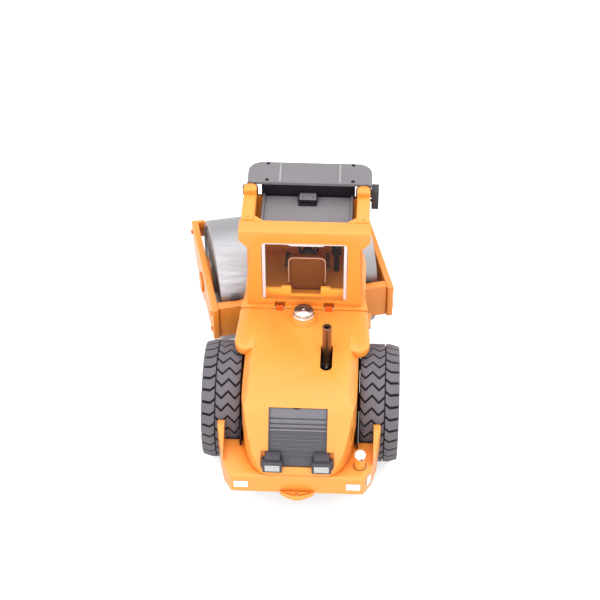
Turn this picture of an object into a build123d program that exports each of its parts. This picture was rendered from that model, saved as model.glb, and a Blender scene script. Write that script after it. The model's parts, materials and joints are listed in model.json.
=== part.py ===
from build123d import *
import math
import os

# Toy single-drum road roller, millimetres, +Z up, +Y forwards (towards the drum).
# Design frame: ground z = 0, rear axle over y = 0, body centre line x = 0.
# Every part is shifted at the end so that the bounding box stands on the origin.

# ---- driving dimensions -------------------------------------------------
BODY_WIDTH = 56.0        # over the rear tyres
WHEEL_R = 17.0           # rear tyre
TYRE_IN = 16.7           # |x| of the inner tyre face
TYRE_OUT = BODY_WIDTH / 2
RIM_R = 10.2             # tyre seat on the rim
AXLE_R = 1.5
AXLE_Z = WHEEL_R
RUN = 0.05               # radial running clearance of every journal
GAP = 0.35               # clearance between faces that move past each other

DECK_Z = 18.5            # top of the bumper casting
BUMPER_BOTTOM = 11.6
BUMPER_REAR = -31.2
ARM_TOP = 24.9           # bumper horns behind the tyres
NECK_Z = 20.8            # top of the fuel filler neck

HOOD_TOP = 37.2
HOOD_FRONT = 16.9
HOOD_WALL = 1.3
HUB_CLEAR_Z = 21.5       # lower edge of the hood sides over the wheel hubs
HOOD_BASE = 18.9
HINGE = (18.3, 36.3)     # hood hinge line: y, z
HINGE_R = 0.5
GRILLE_HALF = 8.1
LUG_X = 7.1              # centre of each hood hinge lug
SLOPE_TOP = (-21.3, 35.9)
SLOPE_END = (-30.4, 20.5)

CAB_REAR = 18.8
CAB_FLOOR = 37.2
CAB_HALF = 16.5          # half width at the floor
SIDE_IN, SIDE_OUT = 14.7, 16.4   # faces of the cab side frames
ROOF_Z = 65.0            # top of the side rails
VISOR_TOP = 67.0
VISOR_BASE = 66.1        # underside of the visor plate
PANEL_TOP = 61.8

PIVOT_Y = 28.9           # articulation axis
PIN_R = 1.4
STEER = 13.6             # front unit is displayed turned to the left

FRAME_HALF = 27.7        # drum frame, measured from the articulation axis
PLATE_T = 1.9
FRAME_BOTTOM = 16.1
FRAME_TOP = 27.6
FRAME_REAR = 3.9
FRAME_FRONT = 47.3
DRUM_R = 18.8
DRUM_HALF = 24.2
DRUM_Y = 26.7
JOURNAL_R = 2.0


# ---- small helpers ------------------------------------------------------
def box(x0, x1, y0, y1, z0, z1):
    """Box from its six limits."""
    return Pos((x0 + x1) / 2, (y0 + y1) / 2, (z0 + z1) / 2) * Box(x1 - x0, y1 - y0, z1 - z0)


def prism_x(points, x0, x1):
    """Outline in (y, z) pushed from x0 to x1."""
    wire = Polyline(*[(x0, y, z) for y, z in points], close=True)
    return extrude(make_face(wire), amount=x1 - x0, dir=(1, 0, 0))


def prism_y(points, y0, y1):
    """Outline in (x, z) pushed from y0 to y1."""
    wire = Polyline(*[(x, y0, z) for x, z in points], close=True)
    return extrude(make_face(wire), amount=y1 - y0, dir=(0, 1, 0))


def prism_z(points, z0, z1):
    """Outline in (x, y) pushed from z0 to z1."""
    wire = Polyline(*[(x, y, z0) for x, y in points], close=True)
    return extrude(make_face(wire), amount=z1 - z0, dir=(0, 0, 1))


def rod(radius, start, end):
    """Cylinder between two points."""
    start, end = Vector(*start), Vector(*end)
    plane = Plane(origin=start, z_dir=end - start)
    return plane * Cylinder(radius, (end - start).length, align=(Align.CENTER, Align.CENTER, Align.MIN))


def turned_x(points, y, z):
    """Outline in (x, radius) turned about the X-parallel line through (y, z)."""
    wire = Polyline(*[(x, r, 0) for x, r in points], close=True)
    return Pos(0, y, z) * revolve(make_face(wire), Axis.X)


def turned_z(points, x, y):
    """Outline in (radius, z) turned about the vertical line through (x, y)."""
    wire = Polyline(*[(r, 0, z) for r, z in points], close=True)
    return Pos(x, y, 0) * revolve(make_face(wire), Axis.Z)


def other_side(shape):
    """Mirror image across the centre plane x = 0."""
    return mirror(shape, about=Plane.YZ)


def group(*shapes):
    """Separate solids kept together as one part."""
    return Compound([solid for shape in shapes for solid in shape.solids()])


def pair(shape):
    """The shape and its mirror image as two solids of one part."""
    return group(shape, other_side(shape))


def edges_along(shape, axis, test):
    """Edges parallel to an axis whose middle point passes the test."""
    return [e for e in shape.edges().filter_by(axis) if test(e @ 0.5)]


def mirrored_outline(half):
    """Close an outline given for x >= 0 with its mirror image."""
    return half + [(-x, y) for x, y in reversed(half)]


# ---- rear chassis and bumper -------------------------------------------
def rear_chassis():
    """Tray under the hood, front bulkhead and articulation tongue."""
    body = box(-14.2, 14.2, -28.2, 24.0, 9.0, 11.0)
    for side in (-1, 1):
        wall = [(-28.2, 11.0), (24.0, 11.0), (24.0, 21.5), (-11.0, 21.5), (-13.5, DECK_Z - 1.7),
                (-28.2, DECK_Z - 1.7)]
        body += prism_x(wall, min(side * 12.2, side * 14.2), max(side * 12.2, side * 14.2))
        boss = [(side * 10.8, 0.0), (side * 12.2, 0.0), (side * 12.2, 3.2), (side * 10.8, 3.2)]
        body += turned_x(boss, 0, AXLE_Z)
    body += box(-14.2, 14.2, 21.4, 24.0, 11.0, 33.0)
    for x in (-9.0, 0.0, 9.0):
        body += prism_x([(21.4, 11.0), (21.4, 30.0), (18.2, 20.0), (16.0, 11.0)], x - 0.7, x + 0.7)
    body += box(-3.3, 3.3, 24.0, PIVOT_Y, 17.8, 22.2)
    body += rod(3.3, (0, PIVOT_Y, 17.8), (0, PIVOT_Y, 22.2))
    body -= rod(PIN_R + RUN, (0, PIVOT_Y, 17.0), (0, PIVOT_Y, 23.0))
    body -= rod(2.3, (-20, 0, AXLE_Z), (20, 0, AXLE_Z))
    return body


def axle_bushes():
    """Bronze bushes that carry the rear axle in the chassis walls."""
    ring = [(10.8, AXLE_R + RUN), (14.3, AXLE_R + RUN), (14.3, 2.3), (10.8, 2.3)]
    return pair(turned_x(ring, 0, AXLE_Z))


def rear_bumper():
    """Cast bumper: rear wall, side pods with deck, horns behind the tyres and the filler neck."""
    half = [(18.2, BUMPER_REAR), (20.6, -27.0), (22.8, -18.5), (22.8, -14.0)]
    block = prism_z(mirrored_outline(half), BUMPER_BOTTOM, 26.0)
    profile = [(21.9, BUMPER_BOTTOM), (22.8, DECK_Z), (22.8, 26.0)]
    block &= prism_y([(x, z) for x, z in mirrored_outline(profile)], -40, 0)
    horns = [(-27.2, DECK_Z), (-20.2, 23.9), (-18.6, ARM_TOP), (-16.6, ARM_TOP), (-15.2, 24.0),
             (-14.0, DECK_Z)]
    above = prism_x(horns, 20.9, 24.0)
    above = fillet(edges_along(above, Axis.X, lambda p: p.Z > 23.5), 0.8)
    upper = above + other_side(above) + box(-30, 30, -40, 0, 5.0, DECK_Z)
    block &= upper
    block -= rod(WHEEL_R + 0.7, (-40, 0, AXLE_Z), (40, 0, AXLE_Z))
    block -= box(-14.6, 14.6, -29.6, 0, 5.0, DECK_Z - 1.6)
    well = [(8.0, -28.6), (11.4, -26.0), (12.4, -20.0), (12.4, 0.0)]
    block -= prism_z(mirrored_outline(well), DECK_Z - 3, 30.0)
    for side in (-1, 1):
        pocket = prism_z([(side * 16.2, -29.6), (side * 17.2, -29.6), (side * 19.0, -26.4),
                          (side * 20.3, -21.0),
                          (side * 20.3, -19.8), (side * 16.2, -19.8)], 5.0, DECK_Z - 1.6)
        block -= pocket
        block += box(min(side * 14.2, side * 14.6), max(side * 14.2, side * 14.6), -28.2, -24.0, 12.5, 17.0)
    block += turned_z([(0, DECK_Z), (1.6, DECK_Z), (1.35, NECK_Z), (0, NECK_Z)], 17.3, -26.4)
    rear = edges_along(block, Axis.X, lambda p: p.Y < BUMPER_REAR + 0.1)
    return chamfer(rear, 0.5)


def tow_hitch():
    """V shaped towing lug with a vertical pin hole."""
    lug = prism_z([(-5.4, BUMPER_REAR), (-1.3, -34.0), (1.3, -34.0), (5.4, BUMPER_REAR)], 11.9, 13.6)
    lug = fillet(edges_along(lug, Axis.Z, lambda p: p.Y < -33.0), 1.0)
    return lug - rod(0.6, (0, -32.5, 11.0), (0, -32.5, 14.0))


def bumper_reflectors():
    """Two reflectors on the rear wall and a taller one on the right chamfered corner."""
    rear = box(13.6, 17.6, BUMPER_REAR - 0.35, BUMPER_REAR, 14.0, 16.3)
    angle = math.degrees(math.atan2(4.2, 2.4))
    corner = Pos(19.7, -28.6, 15.4) * Rot(0, 0, angle) * Box(1.8, 0.7, 3.2)
    corner -= rear_bumper()
    return group(pair(rear), corner.solids().sort_by(SortBy.VOLUME)[-1])


def fuel_cap():
    """Domed filler cap on the right deck."""
    z = NECK_Z
    dome = [(0, z), (1.3, z), (1.75, z + 0.7), (1.8, z + 1.3), (1.55, z + 2.1), (0.9, z + 2.7), (0, z + 2.9)]
    return turned_z(dome, 17.3, -26.4)


# ---- engine bay ---------------------------------------------------------
def engine_block():
    """Block on two feet that straddle the rear axle."""
    block = box(-5.5, 5.5, -12.0, 10.0, 20.0, 28.0)
    block += box(-6.5, 6.5, -10.5, -6.0, 11.0, 20.0) + box(-6.5, 6.5, 5.0, 9.5, 11.0, 20.0)
    block += box(5.5, 9.0, -1.0, 3.0, 22.5, 26.0)
    for y in (-9.6, -5.4, 4.0, 8.0):
        block += rod(1.1, (5.5, y, 24.5), (6.9, y, 24.5))
    for z in (21.5, 23.5, 25.5):
        block += box(-6.1, -5.5, -11.5, 9.5, z, z + 0.9)
    return block


def rocker_cover():
    """Cover on top of the engine with four filler bosses."""
    cover = box(-4.4, 4.4, -11.0, 9.0, 28.0, 31.0)
    cover = fillet(cover.faces().sort_by(Axis.Z)[-1].edges(), 0.9)
    for y in (-8.0, -3.0, 2.0, 7.0):
        cover += rod(0.9, (0, y, 31.0), (0, y, 31.7))
    return cover


def radiator():
    """Core with header tanks, behind the grille."""
    core = box(-9.0, 9.0, -23.2, -20.8, 11.0, 27.6)
    for z in (12.5, 25.0):
        core += box(-9.6, 9.6, -23.6, -20.4, z, z + 1.6)
    return core


def radiator_fan():
    """Six-bladed fan on a shaft from the block."""
    fan = rod(0.8, (0, -12.0, 21.0), (0, -19.4, 21.0)) + rod(1.8, (0, -17.6, 21.0), (0, -19.4, 21.0))
    blade = Pos(0, -18.5, 24.0) * Rot(0, 0, 35) * Box(2.2, 0.5, 4.6)
    for k in range(6):
        fan += blade.rotate(Axis((0, 0, 21.0), (0, 1, 0)), 60 * k)
    return fan


def exhaust_pipe():
    """Upright pipe, open at the top, through the hood slot."""
    pipe = rod(1.3, (7.1, 1.0, 26.0), (7.1, 1.0, 45.6))
    return pipe - rod(0.95, (7.1, 1.0, 40.0), (7.1, 1.0, 46.0))


def exhaust_clamp():
    """Band around the pipe inside the slot."""
    band = turned_z([(1.3, 30.2), (1.62, 30.2), (1.62, 31.8), (1.3, 31.8)], 7.1, 1.0)
    return band


# ---- hood ---------------------------------------------------------------
def hood_solid(inset):
    """Outer hood volume; a positive inset gives the cavity."""
    i = inset
    nose = [(HOOD_FRONT + i, HOOD_BASE - 3 * i), (HOOD_FRONT + i, HOOD_TOP - i), (-17.4 + 0.3 * i, 37.0 - i),
            (SLOPE_TOP[0] + 0.6 * i, SLOPE_TOP[1] - i), (-30.4 + i, 20.5 - 0.4 * i),
                       (-31.0 + i, HOOD_BASE - 3 * i)]
    side = prism_x(nose, -25, 25)
    half = [(16.1, HOOD_FRONT + i), (16.1, -10.0), (15.9, -17.0), (15.2, -21.0), (14.0, -25.0),
            (12.4, -28.2 + i),
            (10.4, -30.2 + i), (8.4, -31.0 + i)]
    half = [(x - i, y) for x, y in half]
    plan = prism_z(mirrored_outline(half), HOOD_BASE - 4, 45)
    front = [(16.1 - i, HOOD_BASE - 4), (16.1 - i, 34.2 - i), (13.8 - i, HOOD_TOP - i)]
    section = prism_y(mirrored_outline(front), -40, 20)
    return side & plan & section


def hood_shoulders():
    """Flared front shoulders over the tyres, flat underneath to clear them."""
    section = [(15.91, 34.45), (19.2, 34.45), (19.2, 34.9), (16.4, HOOD_TOP), (13.8, HOOD_TOP)]
    wing = prism_y(section, 0.6, HOOD_FRONT)
    wing &= prism_z([(9.0, 0.6), (16.4, 0.6), (19.2, 3.4), (18.5, HOOD_FRONT), (9.0, HOOD_FRONT)], 20, 45)
    return pair(wing)


def slope_slab(x0, x1, t0, t1, inner, outer):
    """Slab parallel to the sloping hood rear, t measured down the slope."""
    dy, dz = SLOPE_END[0] - SLOPE_TOP[0], SLOPE_END[1] - SLOPE_TOP[1]
    length = math.hypot(dy, dz)
    dy, dz = dy / length, dz / length
    ny, nz = dz, -dy
    pts = []
    for t, h in ((t0, inner), (t1, inner), (t1, outer), (t0, outer)):
        pts.append((SLOPE_TOP[0] + t * dy + h * ny, SLOPE_TOP[1] + t * dz + h * nz))
    return prism_x(pts, x0, x1)


def hood():
    """Hood shell with shoulders, grille window, exhaust slot, cleaner boss and hinge lugs."""
    outer = hood_solid(0)
    outer = fillet(edges_along(outer, Axis.X, lambda p: p.Y < -18 and p.Z > 34), 1.6)
    shell = outer - hood_solid(HOOD_WALL)
    collar = [(0, HOOD_TOP - 0.4), (3.8, HOOD_TOP - 0.4), (3.8, HOOD_TOP), (3.2, 38.8), (0, 38.8)]
    shell += turned_z(collar, 0, 13.0)
    slot = box(5.4, 8.8, -6.2, 1.3, 33, 40) + rod(1.7, (7.1, 1.3, 33), (7.1, 1.3, 40))
    slot += rod(1.7, (7.1, -6.2, 33), (7.1, -6.2, 40))
    shell -= slot
    shell -= slope_slab(-GRILLE_HALF, GRILLE_HALF, 0.3, 17.2, -3.0, 3.0)
    for side in (-1, 1):
        shell -= slope_slab(min(side * 7.8, side * 10.1), max(side * 7.8, side * 10.1), 12.6, 17.0, -0.8, 3.0)
    for side in (-1, 1):
        for k in range(5):
            y = -25.6 + 1.5 * k
            vent = prism_x([(y, 24.0 + 0.6 * k), (y + 0.7, 24.0 + 0.6 * k), (y + 1.5, 28.2 + 0.6 * k),
                            (y + 0.8, 28.2 + 0.6 * k)], 10.0, 18.0)
            shell -= vent if side > 0 else other_side(vent)
        x = side * LUG_X
        lug = prism_x([(HOOD_FRONT - 2.0, 35.0), (HINGE[0], HINGE[1] - 1.0), (HINGE[0], HINGE[1] + 1.0),
                       (HOOD_FRONT - 0.4, HOOD_TOP - 0.1)], x - 1.1, x + 1.1)
        lug += rod(1.0, (x - 1.1, *HINGE), (x + 1.1, *HINGE))
        shell += lug
        shell -= rod(HINGE_R + RUN, (x - 2, *HINGE), (x + 2, *HINGE))
    shell -= box(-20, 20, -12, 20, HOOD_BASE - 5, HUB_CLEAR_Z)
    return shell


def grille():
    """Sloping grille plate with horizontal ribs and a finger notch."""
    w = GRILLE_HALF
    plate = slope_slab(-w, w, 0.3, 17.2, -1.2, -0.5)
    for k in range(10):
        t = 1.2 + 1.5 * k
        plate += slope_slab(-w + 0.2, w - 0.2, t, t + 0.75, -0.5, -0.1)
    return plate - slope_slab(-1.3, 0.3, 0.0, 0.9, -2.0, 1.0)


def lamp_side(sign):
    """Work lamp housing box that sits on the lower corner of the grille."""
    lamp = prism_x([(-31.7, 20.4), (-28.0, 20.4), (-27.0, 24.9), (-31.7, 24.1)], 4.05, 9.5)
    lamp = fillet(edges_along(lamp, Axis.Z, lambda p: p.Y < -31), 0.4)
    return lamp if sign > 0 else other_side(lamp)


def work_lamp_housings(hood_shape, grille_shape):
    """Both lamp housings, trimmed to the hood and grille they stand on."""
    trimmed = []
    for sign in (-1, 1):
        lamp = lamp_side(sign) - hood_shape - grille_shape
        lamp -= hood_solid(HOOD_WALL)
        lamp = lamp.solids().sort_by(SortBy.VOLUME)[-1]
        trimmed.append(lamp - lens_box(sign))
    return group(*trimmed)


def lens_box(sign):
    """Lens volume of one lamp."""
    lens = box(4.75, 8.85, -32.0, -31.2, 21.1, 23.4)
    return lens if sign > 0 else other_side(lens)


def air_cleaner_cap():
    """Bright domed cap of the air cleaner."""
    return turned_z([(0, 38.8), (3.05, 38.8), (2.9, 40.2), (2.2, 41.0), (0, 41.5)], 0, 13.0)


# ---- cab ----------------------------------------------------------------
def cab_base():
    """Floor casting with flared edges and the hinge notches of the hood."""
    half = [(18.4, 17.3), (17.6, 23.0), (17.6, 42.0), (15.0, 44.4)]
    base = prism_z(mirrored_outline(half), 33.0, CAB_FLOOR)
    base = chamfer(edges_along(base, Axis.Y, lambda p: p.Z > 37 and abs(p.X) > 17), 1.1)
    under = [(26.0, 30.0), (26.0, 34.8), (36.0, 34.9), (41.0, 36.5), (44.4, 37.0), (46.0, 37.0), (46.0, 30.0)]
    base -= prism_x(under, -30, 30)
    for side in (-1, 1):
        x = side * LUG_X
        base -= box(x - 1.45, x + 1.45, 16.0, 20.0, 34.2, 38.0)
    base -= hinge_pin_holes()
    return base


def hinge_pin_holes():
    """Holes for the two hood hinge pins."""
    pin = rod(HINGE_R, (LUG_X - 3.2, *HINGE), (LUG_X + 3.2, *HINGE))
    return pin + other_side(pin)


def hood_hinge_pins():
    """Steel pins of the hood hinge."""
    return pair(rod(HINGE_R, (LUG_X - 3.2, *HINGE), (LUG_X + 3.2, *HINGE)))


def cab_rear_frame():
    """Rear wall with the window opening, roof beam and chamfered ears."""
    half = [(CAB_HALF, CAB_FLOOR), (15.7, 57.9), (18.6, 61.2), (18.6, ROOF_Z - 0.3)]
    wall = prism_y(mirrored_outline(half), CAB_REAR, 20.6)
    wall += box(-18.6, 18.6, 20.6, 23.6, 61.0, ROOF_Z - 0.3) - box(-13.6, 13.6, 20.6, 23.6, 60.0, 61.0)
    wall = chamfer(edges_along(wall, Axis.X, lambda p: p.Z > 64 and p.Y < 19), 0.4)
    opening = box(-12.3, 12.3, 18, 21, 39.0, 60.4)
    opening = fillet(edges_along(opening, Axis.Y, lambda p: True), 1.3)
    wall -= opening
    for side in (-1, 1):
        x = side * LUG_X
        wall -= box(x - 1.45, x + 1.45, 18.0, 20.0, 37.0, 38.3)
    return wall


def side_outline(inset):
    """Side of the cab in (y, z)."""
    i = inset
    return [(20.6 + i, CAB_FLOOR + i), (44.2 - i, CAB_FLOOR + i), (40.3 - i, 61.0 - i), (20.6 + i, 61.0 - i)]


def cab_side(sign):
    """Side frame: panel with two windows and the roof rail on top."""
    plate = prism_x(side_outline(0), SIDE_IN, SIDE_OUT)
    rear = prism_x([(22.2, 41.0), (30.0, 41.0), (30.0, 59.6), (22.2, 59.6)], 14, 19)
    front = prism_x([(31.6, 39.2), (42.3, 39.2), (39.1, 59.6), (31.6, 59.6)], 14, 19)
    plate -= fillet(edges_along(rear, Axis.X, lambda p: True), 1.0)
    plate -= fillet(edges_along(front, Axis.X, lambda p: True), 1.0)
    rail = box(14.4, 18.2, 23.6, 40.7, 61.0, ROOF_Z)
    rail = fillet(edges_along(rail, Axis.Z, lambda p: p.Y > 39), 1.8)
    rail = chamfer(edges_along(rail, Axis.Y, lambda p: p.Z > 64), 0.4)
    frame = plate + rail
    if sign > 0:
        return frame
    frame = other_side(frame)
    x = -SIDE_OUT - 0.7
    frame += rod(0.35, (-SIDE_OUT, 32.3, 50.0), (x, 32.3, 50.0))
    return frame + rod(0.35, (x, 32.3, 47.0), (x, 32.3, 50.0))


def side_glass(sign):
    """Two panes that fill the windows of one side frame."""
    x0, x1 = SIDE_IN + 0.5, SIDE_OUT - 0.6
    rear = prism_x([(22.2, 41.0), (30.0, 41.0), (30.0, 59.6), (22.2, 59.6)], x0, x1)
    front = prism_x([(31.6, 39.2), (42.3, 39.2), (39.1, 59.6), (31.6, 59.6)], x0, x1)
    rear = fillet(edges_along(rear, Axis.X, lambda p: True), 1.0)
    front = fillet(edges_along(front, Axis.X, lambda p: True), 1.0)
    panes = [rear, front] if sign > 0 else [other_side(rear), other_side(front)]
    return group(*panes)


def screen_slab(y_low, y_high, z0, z1, x0, x1):
    """Slab parallel to the raked front of the cab."""
    rake = (44.2 - 40.3) / (61.0 - CAB_FLOOR)
    pts = []
    for offset, z in ((y_low, z0), (y_high, z0), (y_high, z1), (y_low, z1)):
        pts.append((44.2 + offset - rake * (z - CAB_FLOOR), z))
    return prism_x(pts, x0, x1)


def cab_front_frame():
    """Raked front frame round the windscreen."""
    frame = screen_slab(-1.8, 0.0, CAB_FLOOR, 61.0, -SIDE_IN, SIDE_IN)
    return frame - screen_slab(-3.0, 2.0, 42.0, 58.8, -13.4, 13.4)


def glass_front():
    """Windscreen."""
    return screen_slab(-1.3, -0.6, 42.0, 58.8, -13.4, 13.4)


def glass_rear():
    """Rear window."""
    pane = box(-12.3, 12.3, 19.3, 20.0, 39.0, 60.4)
    return fillet(edges_along(pane, Axis.Y, lambda p: True), 1.3)


def interior_bulkhead():
    """Low wall behind the seat with two raised lugs and a notch."""
    wall = box(-12.8, 12.8, 21.6, 22.8, CAB_FLOOR, 40.6)
    wall += box(-6.8, -4.0, 21.6, 22.8, 40.6, 41.3) + box(4.6, 7.4, 21.6, 22.8, 40.6, 41.3)
    return wall - box(-4.0, 4.6, 21, 23, 38.3, 42)


def seat_base():
    """Seat box on the cab floor."""
    base = box(-3.6, 4.6, 25.6, 32.6, CAB_FLOOR, 41.0)
    return fillet(edges_along(base, Axis.Z, lambda p: True), 0.8)


def seat():
    """Cushion and back rest."""
    back = box(-4.7, 5.7, 24.4, 27.0, 41.0, 50.4)
    back = fillet(edges_along(back, Axis.Y, lambda p: p.Z > 50), 1.8)
    back = fillet(edges_along(back, Axis.Z, lambda p: True), 0.7)
    cushion = box(-4.7, 5.7, 27.0, 33.6, 41.0, 43.2)
    cushion = fillet(edges_along(cushion, Axis.Z, lambda p: p.Y > 33), 1.2)
    return back + cushion


def armrests():
    """Arm rests bolted to both sides of the back rest."""
    arm = box(5.7, 7.1, 25.4, 32.4, 44.8, 46.0)
    arm = fillet(edges_along(arm, Axis.Z, lambda p: p.Y > 32), 0.5)
    left = Pos(1.0, 0, 0) * other_side(arm)
    return group(arm, left)


WHEEL_C = Vector(0.5, 34.8, 45.4)
WHEEL_N = Vector(0, -math.sin(math.radians(28)), math.cos(math.radians(28)))


def steering_column():
    """Column from the floor to the steering wheel hub."""
    foot = WHEEL_C - WHEEL_N * 9.5
    column = rod(0.7, tuple(foot), tuple(WHEEL_C - WHEEL_N * 0.4))
    column &= box(-5, 5, 30, 42, CAB_FLOOR, 50)
    return column + box(-1.1, 2.1, 36.3, 39.4, CAB_FLOOR, 38.4)


def steering_wheel():
    """Rim, hub and three spokes."""
    plane = Plane(origin=WHEEL_C, z_dir=WHEEL_N)
    wheel = plane * Torus(2.6, 0.42)
    wheel += plane * Cylinder(0.9, 0.8)
    for k in range(3):
        wheel += plane * (Rot(0, 0, 90 + 120 * k) * (Pos(1.4, 0, 0) * Box(2.2, 0.5, 0.4)))
    return wheel


def control_lever():
    """Console post with the instrument head beside the seat."""
    post = box(8.0, 9.6, 34.0, 36.0, CAB_FLOOR, 43.6)
    head = box(7.4, 10.2, 33.8, 35.6, 43.6, 49.2)
    head = fillet(edges_along(head, Axis.Y, lambda p: True), 0.6)
    return post + head


# ---- roof ---------------------------------------------------------------
def roof_panel():
    """Dark panel between the rails."""
    panel = box(-13.0, 13.5, 23.6, 38.5, 61.0, PANEL_TOP)
    return fillet(edges_along(panel, Axis.Z, lambda p: p.Y > 38), 0.2)


def roof_struts():
    """Two bars along the edges of the roof panel, each with a foot block."""
    bars = []
    for x in (-12.5, 13.0):
        bar = rod(0.4, (x, 25.4, PANEL_TOP + 0.4), (x, 38.5, PANEL_TOP + 0.4))
        bars.append(bar + box(x - 0.5, x + 0.5, 24.6, 26.4, PANEL_TOP, PANEL_TOP + 1.0))
    return group(*bars)


def roof_latch():
    """Catch at the front edge of the roof panel."""
    latch = box(-2.5, 3.0, 34.9, 38.5, PANEL_TOP, 63.1)
    latch = fillet(edges_along(latch, Axis.Z, lambda p: p.Y < 35), 0.5)
    for x in (-1.2, 1.7):
        latch -= rod(0.35, (x, 36.2, 62.6), (x, 36.2, 64))
    return latch + box(-2.4, 2.9, 34.1, 34.7, PANEL_TOP, 62.4) + box(-2.4, 2.9, 34.7, 34.9, PANEL_TOP, 62.1)


def roof_header():
    """Box over the windscreen that carries the visor."""
    header = box(-13.2, 13.8, 38.5, 42.0, 61.0, VISOR_BASE)
    return header - box(-12.4, 12.9, 39.1, 40.8, 61.0, 64.2)


def roof_visor():
    """Wide visor plate with a turned-down lip and a shallow centre panel."""
    plan = box(-17.35, 18.65, 38.2, 48.1, 63.4, VISOR_TOP)
    plan = fillet(edges_along(plan, Axis.Z, lambda p: p.Y > 47), 4.2)
    plan = fillet([e for e in plan.edges() if (e @ 0.5).Z > 66.9 and (e @ 0.5).Y > 38.3], 0.7)
    inner = box(-16.15, 17.45, 30.0, 46.9, 60.0, VISOR_BASE)
    inner = fillet(edges_along(inner, Axis.Z, lambda p: p.Y > 46), 3.0)
    plan -= inner
    plan -= box(-30, 30, 30, 41.2, 60.0, VISOR_BASE)
    centre = box(-7.6, 9.0, 38.8, 50.0, 66.75, 68.0)
    return plan - centre


def visor_screws():
    """Four screws that hold the visor."""
    heads = []
    for x in (-11.65, 13.1):
        for y in (39.3, 47.0):
            heads.append(rod(0.55, (x, y, VISOR_TOP), (x, y, VISOR_TOP + 0.25)))
    return group(*heads)


def mirror_housing():
    """Right-hand mirror folded alongside the cab."""
    shell = box(18.6, 20.7, 40.8, 44.4, 55.3, 62.9)
    shell = fillet(edges_along(shell, Axis.X, lambda p: True), 1.1)
    arm = rod(0.45, (SIDE_OUT, 41.2, 58.4), (18.6, 41.8, 58.4))
    return shell + (arm - box(10, SIDE_OUT, 38, 46, 50, 62)) - box(20.3, 21, 41.4, 43.8, 56.1, 62.1)


def mirror_glass():
    """Reflecting plate in the mirror housing."""
    return box(20.3, 20.55, 41.4, 43.8, 56.1, 62.1)


def cab_steps():
    """Tread plates hung under the cab sides."""
    step = box(14.6, 19.4, 18.6, 24.4, 28.6, 29.6) + box(16.0, 16.9, 18.6, 24.4, 29.6, 33.0)
    return pair(step)


# ---- rear wheels --------------------------------------------------------
def rear_axle():
    """Steel axle through both wheels."""
    return rod(AXLE_R, (-26.4, 0, AXLE_Z), (26.4, 0, AXLE_Z))


def rear_tyre(sign):
    """Tyre ring with rounded shoulders."""
    a, b, r = TYRE_IN, TYRE_OUT, WHEEL_R
    ring = [(a + 0.9, RIM_R), (a + 0.1, 12.4), (a, 14.4), (a + 0.5, 15.9), (a + 1.7, r - 0.25), (a + 3.0, r),
            (b - 3.0, r), (b - 1.7, r - 0.25), (b - 0.5, 15.9), (b, 14.4), (b - 0.1, 12.4), (b - 0.9, RIM_R)]
    tyre = turned_x(ring, 0, AXLE_Z)
    return tyre if sign > 0 else other_side(tyre)


def rear_rim(sign):
    """Dished rim with hub, pressed on the axle."""
    a, b = TYRE_IN, TYRE_OUT
    ring = [(14.7, AXLE_R), (26.2, AXLE_R), (26.2, 2.6), (24.6, 3.2), (23.8, 3.4), (22.6, 7.8),
            (b - 0.9, 9.2),
            (b - 0.9, RIM_R), (a + 0.9, RIM_R), (a + 0.9, 9.0), (20.6, 8.2), (21.8, 3.2), (16.8, 3.0),
            (16.4, 2.1),
            (14.7, 2.1)]
    rim = turned_x(ring, 0, AXLE_Z)
    for k in range(8):
        angle = math.radians(45 * k + 22.5)
        y, z = 5.2 * math.cos(angle), AXLE_Z + 5.2 * math.sin(angle)
        rim -= rod(0.6, (20, y, z), (28, y, z))
    return rim if sign > 0 else other_side(rim)


# ---- drum unit (own frame: articulation axis at x = y = 0) ---------------
def frame_plate(sign):
    """Side plate of the drum frame with the bearing lobe."""
    outline = [(3.1, FRAME_BOTTOM), (3.1, FRAME_TOP), (FRAME_FRONT - 1.0, FRAME_TOP), (FRAME_FRONT, 26.4),
               (FRAME_FRONT, 22.0), (40.0, FRAME_BOTTOM)]
    plate = prism_x(outline, FRAME_HALF - PLATE_T, FRAME_HALF)
    plate += rod(6.0, (FRAME_HALF - PLATE_T, DRUM_Y, DRUM_R), (FRAME_HALF, DRUM_Y, DRUM_R))
    plate += box(23.6, FRAME_HALF - PLATE_T, 45.2, FRAME_FRONT - 1.0, 24.6, FRAME_TOP)
    plate -= rod(JOURNAL_R, (20, DRUM_Y, DRUM_R), (30, DRUM_Y, DRUM_R))
    return plate if sign > 0 else other_side(plate)


def frame_rear_beam():
    """Box beam behind the drum."""
    w = FRAME_HALF - PLATE_T
    return box(-w, w, FRAME_REAR, FRAME_REAR + 2.8, FRAME_BOTTOM, FRAME_TOP)


def frame_front_beam():
    """Cross beam in front of the drum."""
    w = FRAME_HALF - PLATE_T
    return box(-w, w, 45.85, FRAME_FRONT, 20.9, 24.6)


def articulation_yoke():
    """Two lugs that take the articulation pin above and below the tongue."""
    lugs = []
    for z0, z1 in ((15.0, 17.45), (22.55, 25.0)):
        lug = box(-3.3, 3.3, 0, FRAME_REAR, z0, z1) + rod(3.3, (0, 0, z0), (0, 0, z1))
        lugs.append(lug - rod(PIN_R, (0, 0, 10), (0, 0, 30)))
    return group(*lugs)


def articulation_pin():
    """Steel pin of the articulation with a collar at each end."""
    pin = rod(PIN_R, (0, 0, 14.2), (0, 0, 26.2))
    return pin + rod(2.3, (0, 0, 14.2), (0, 0, 15.0)) + rod(2.3, (0, 0, 25.0), (0, 0, 25.8))


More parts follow.
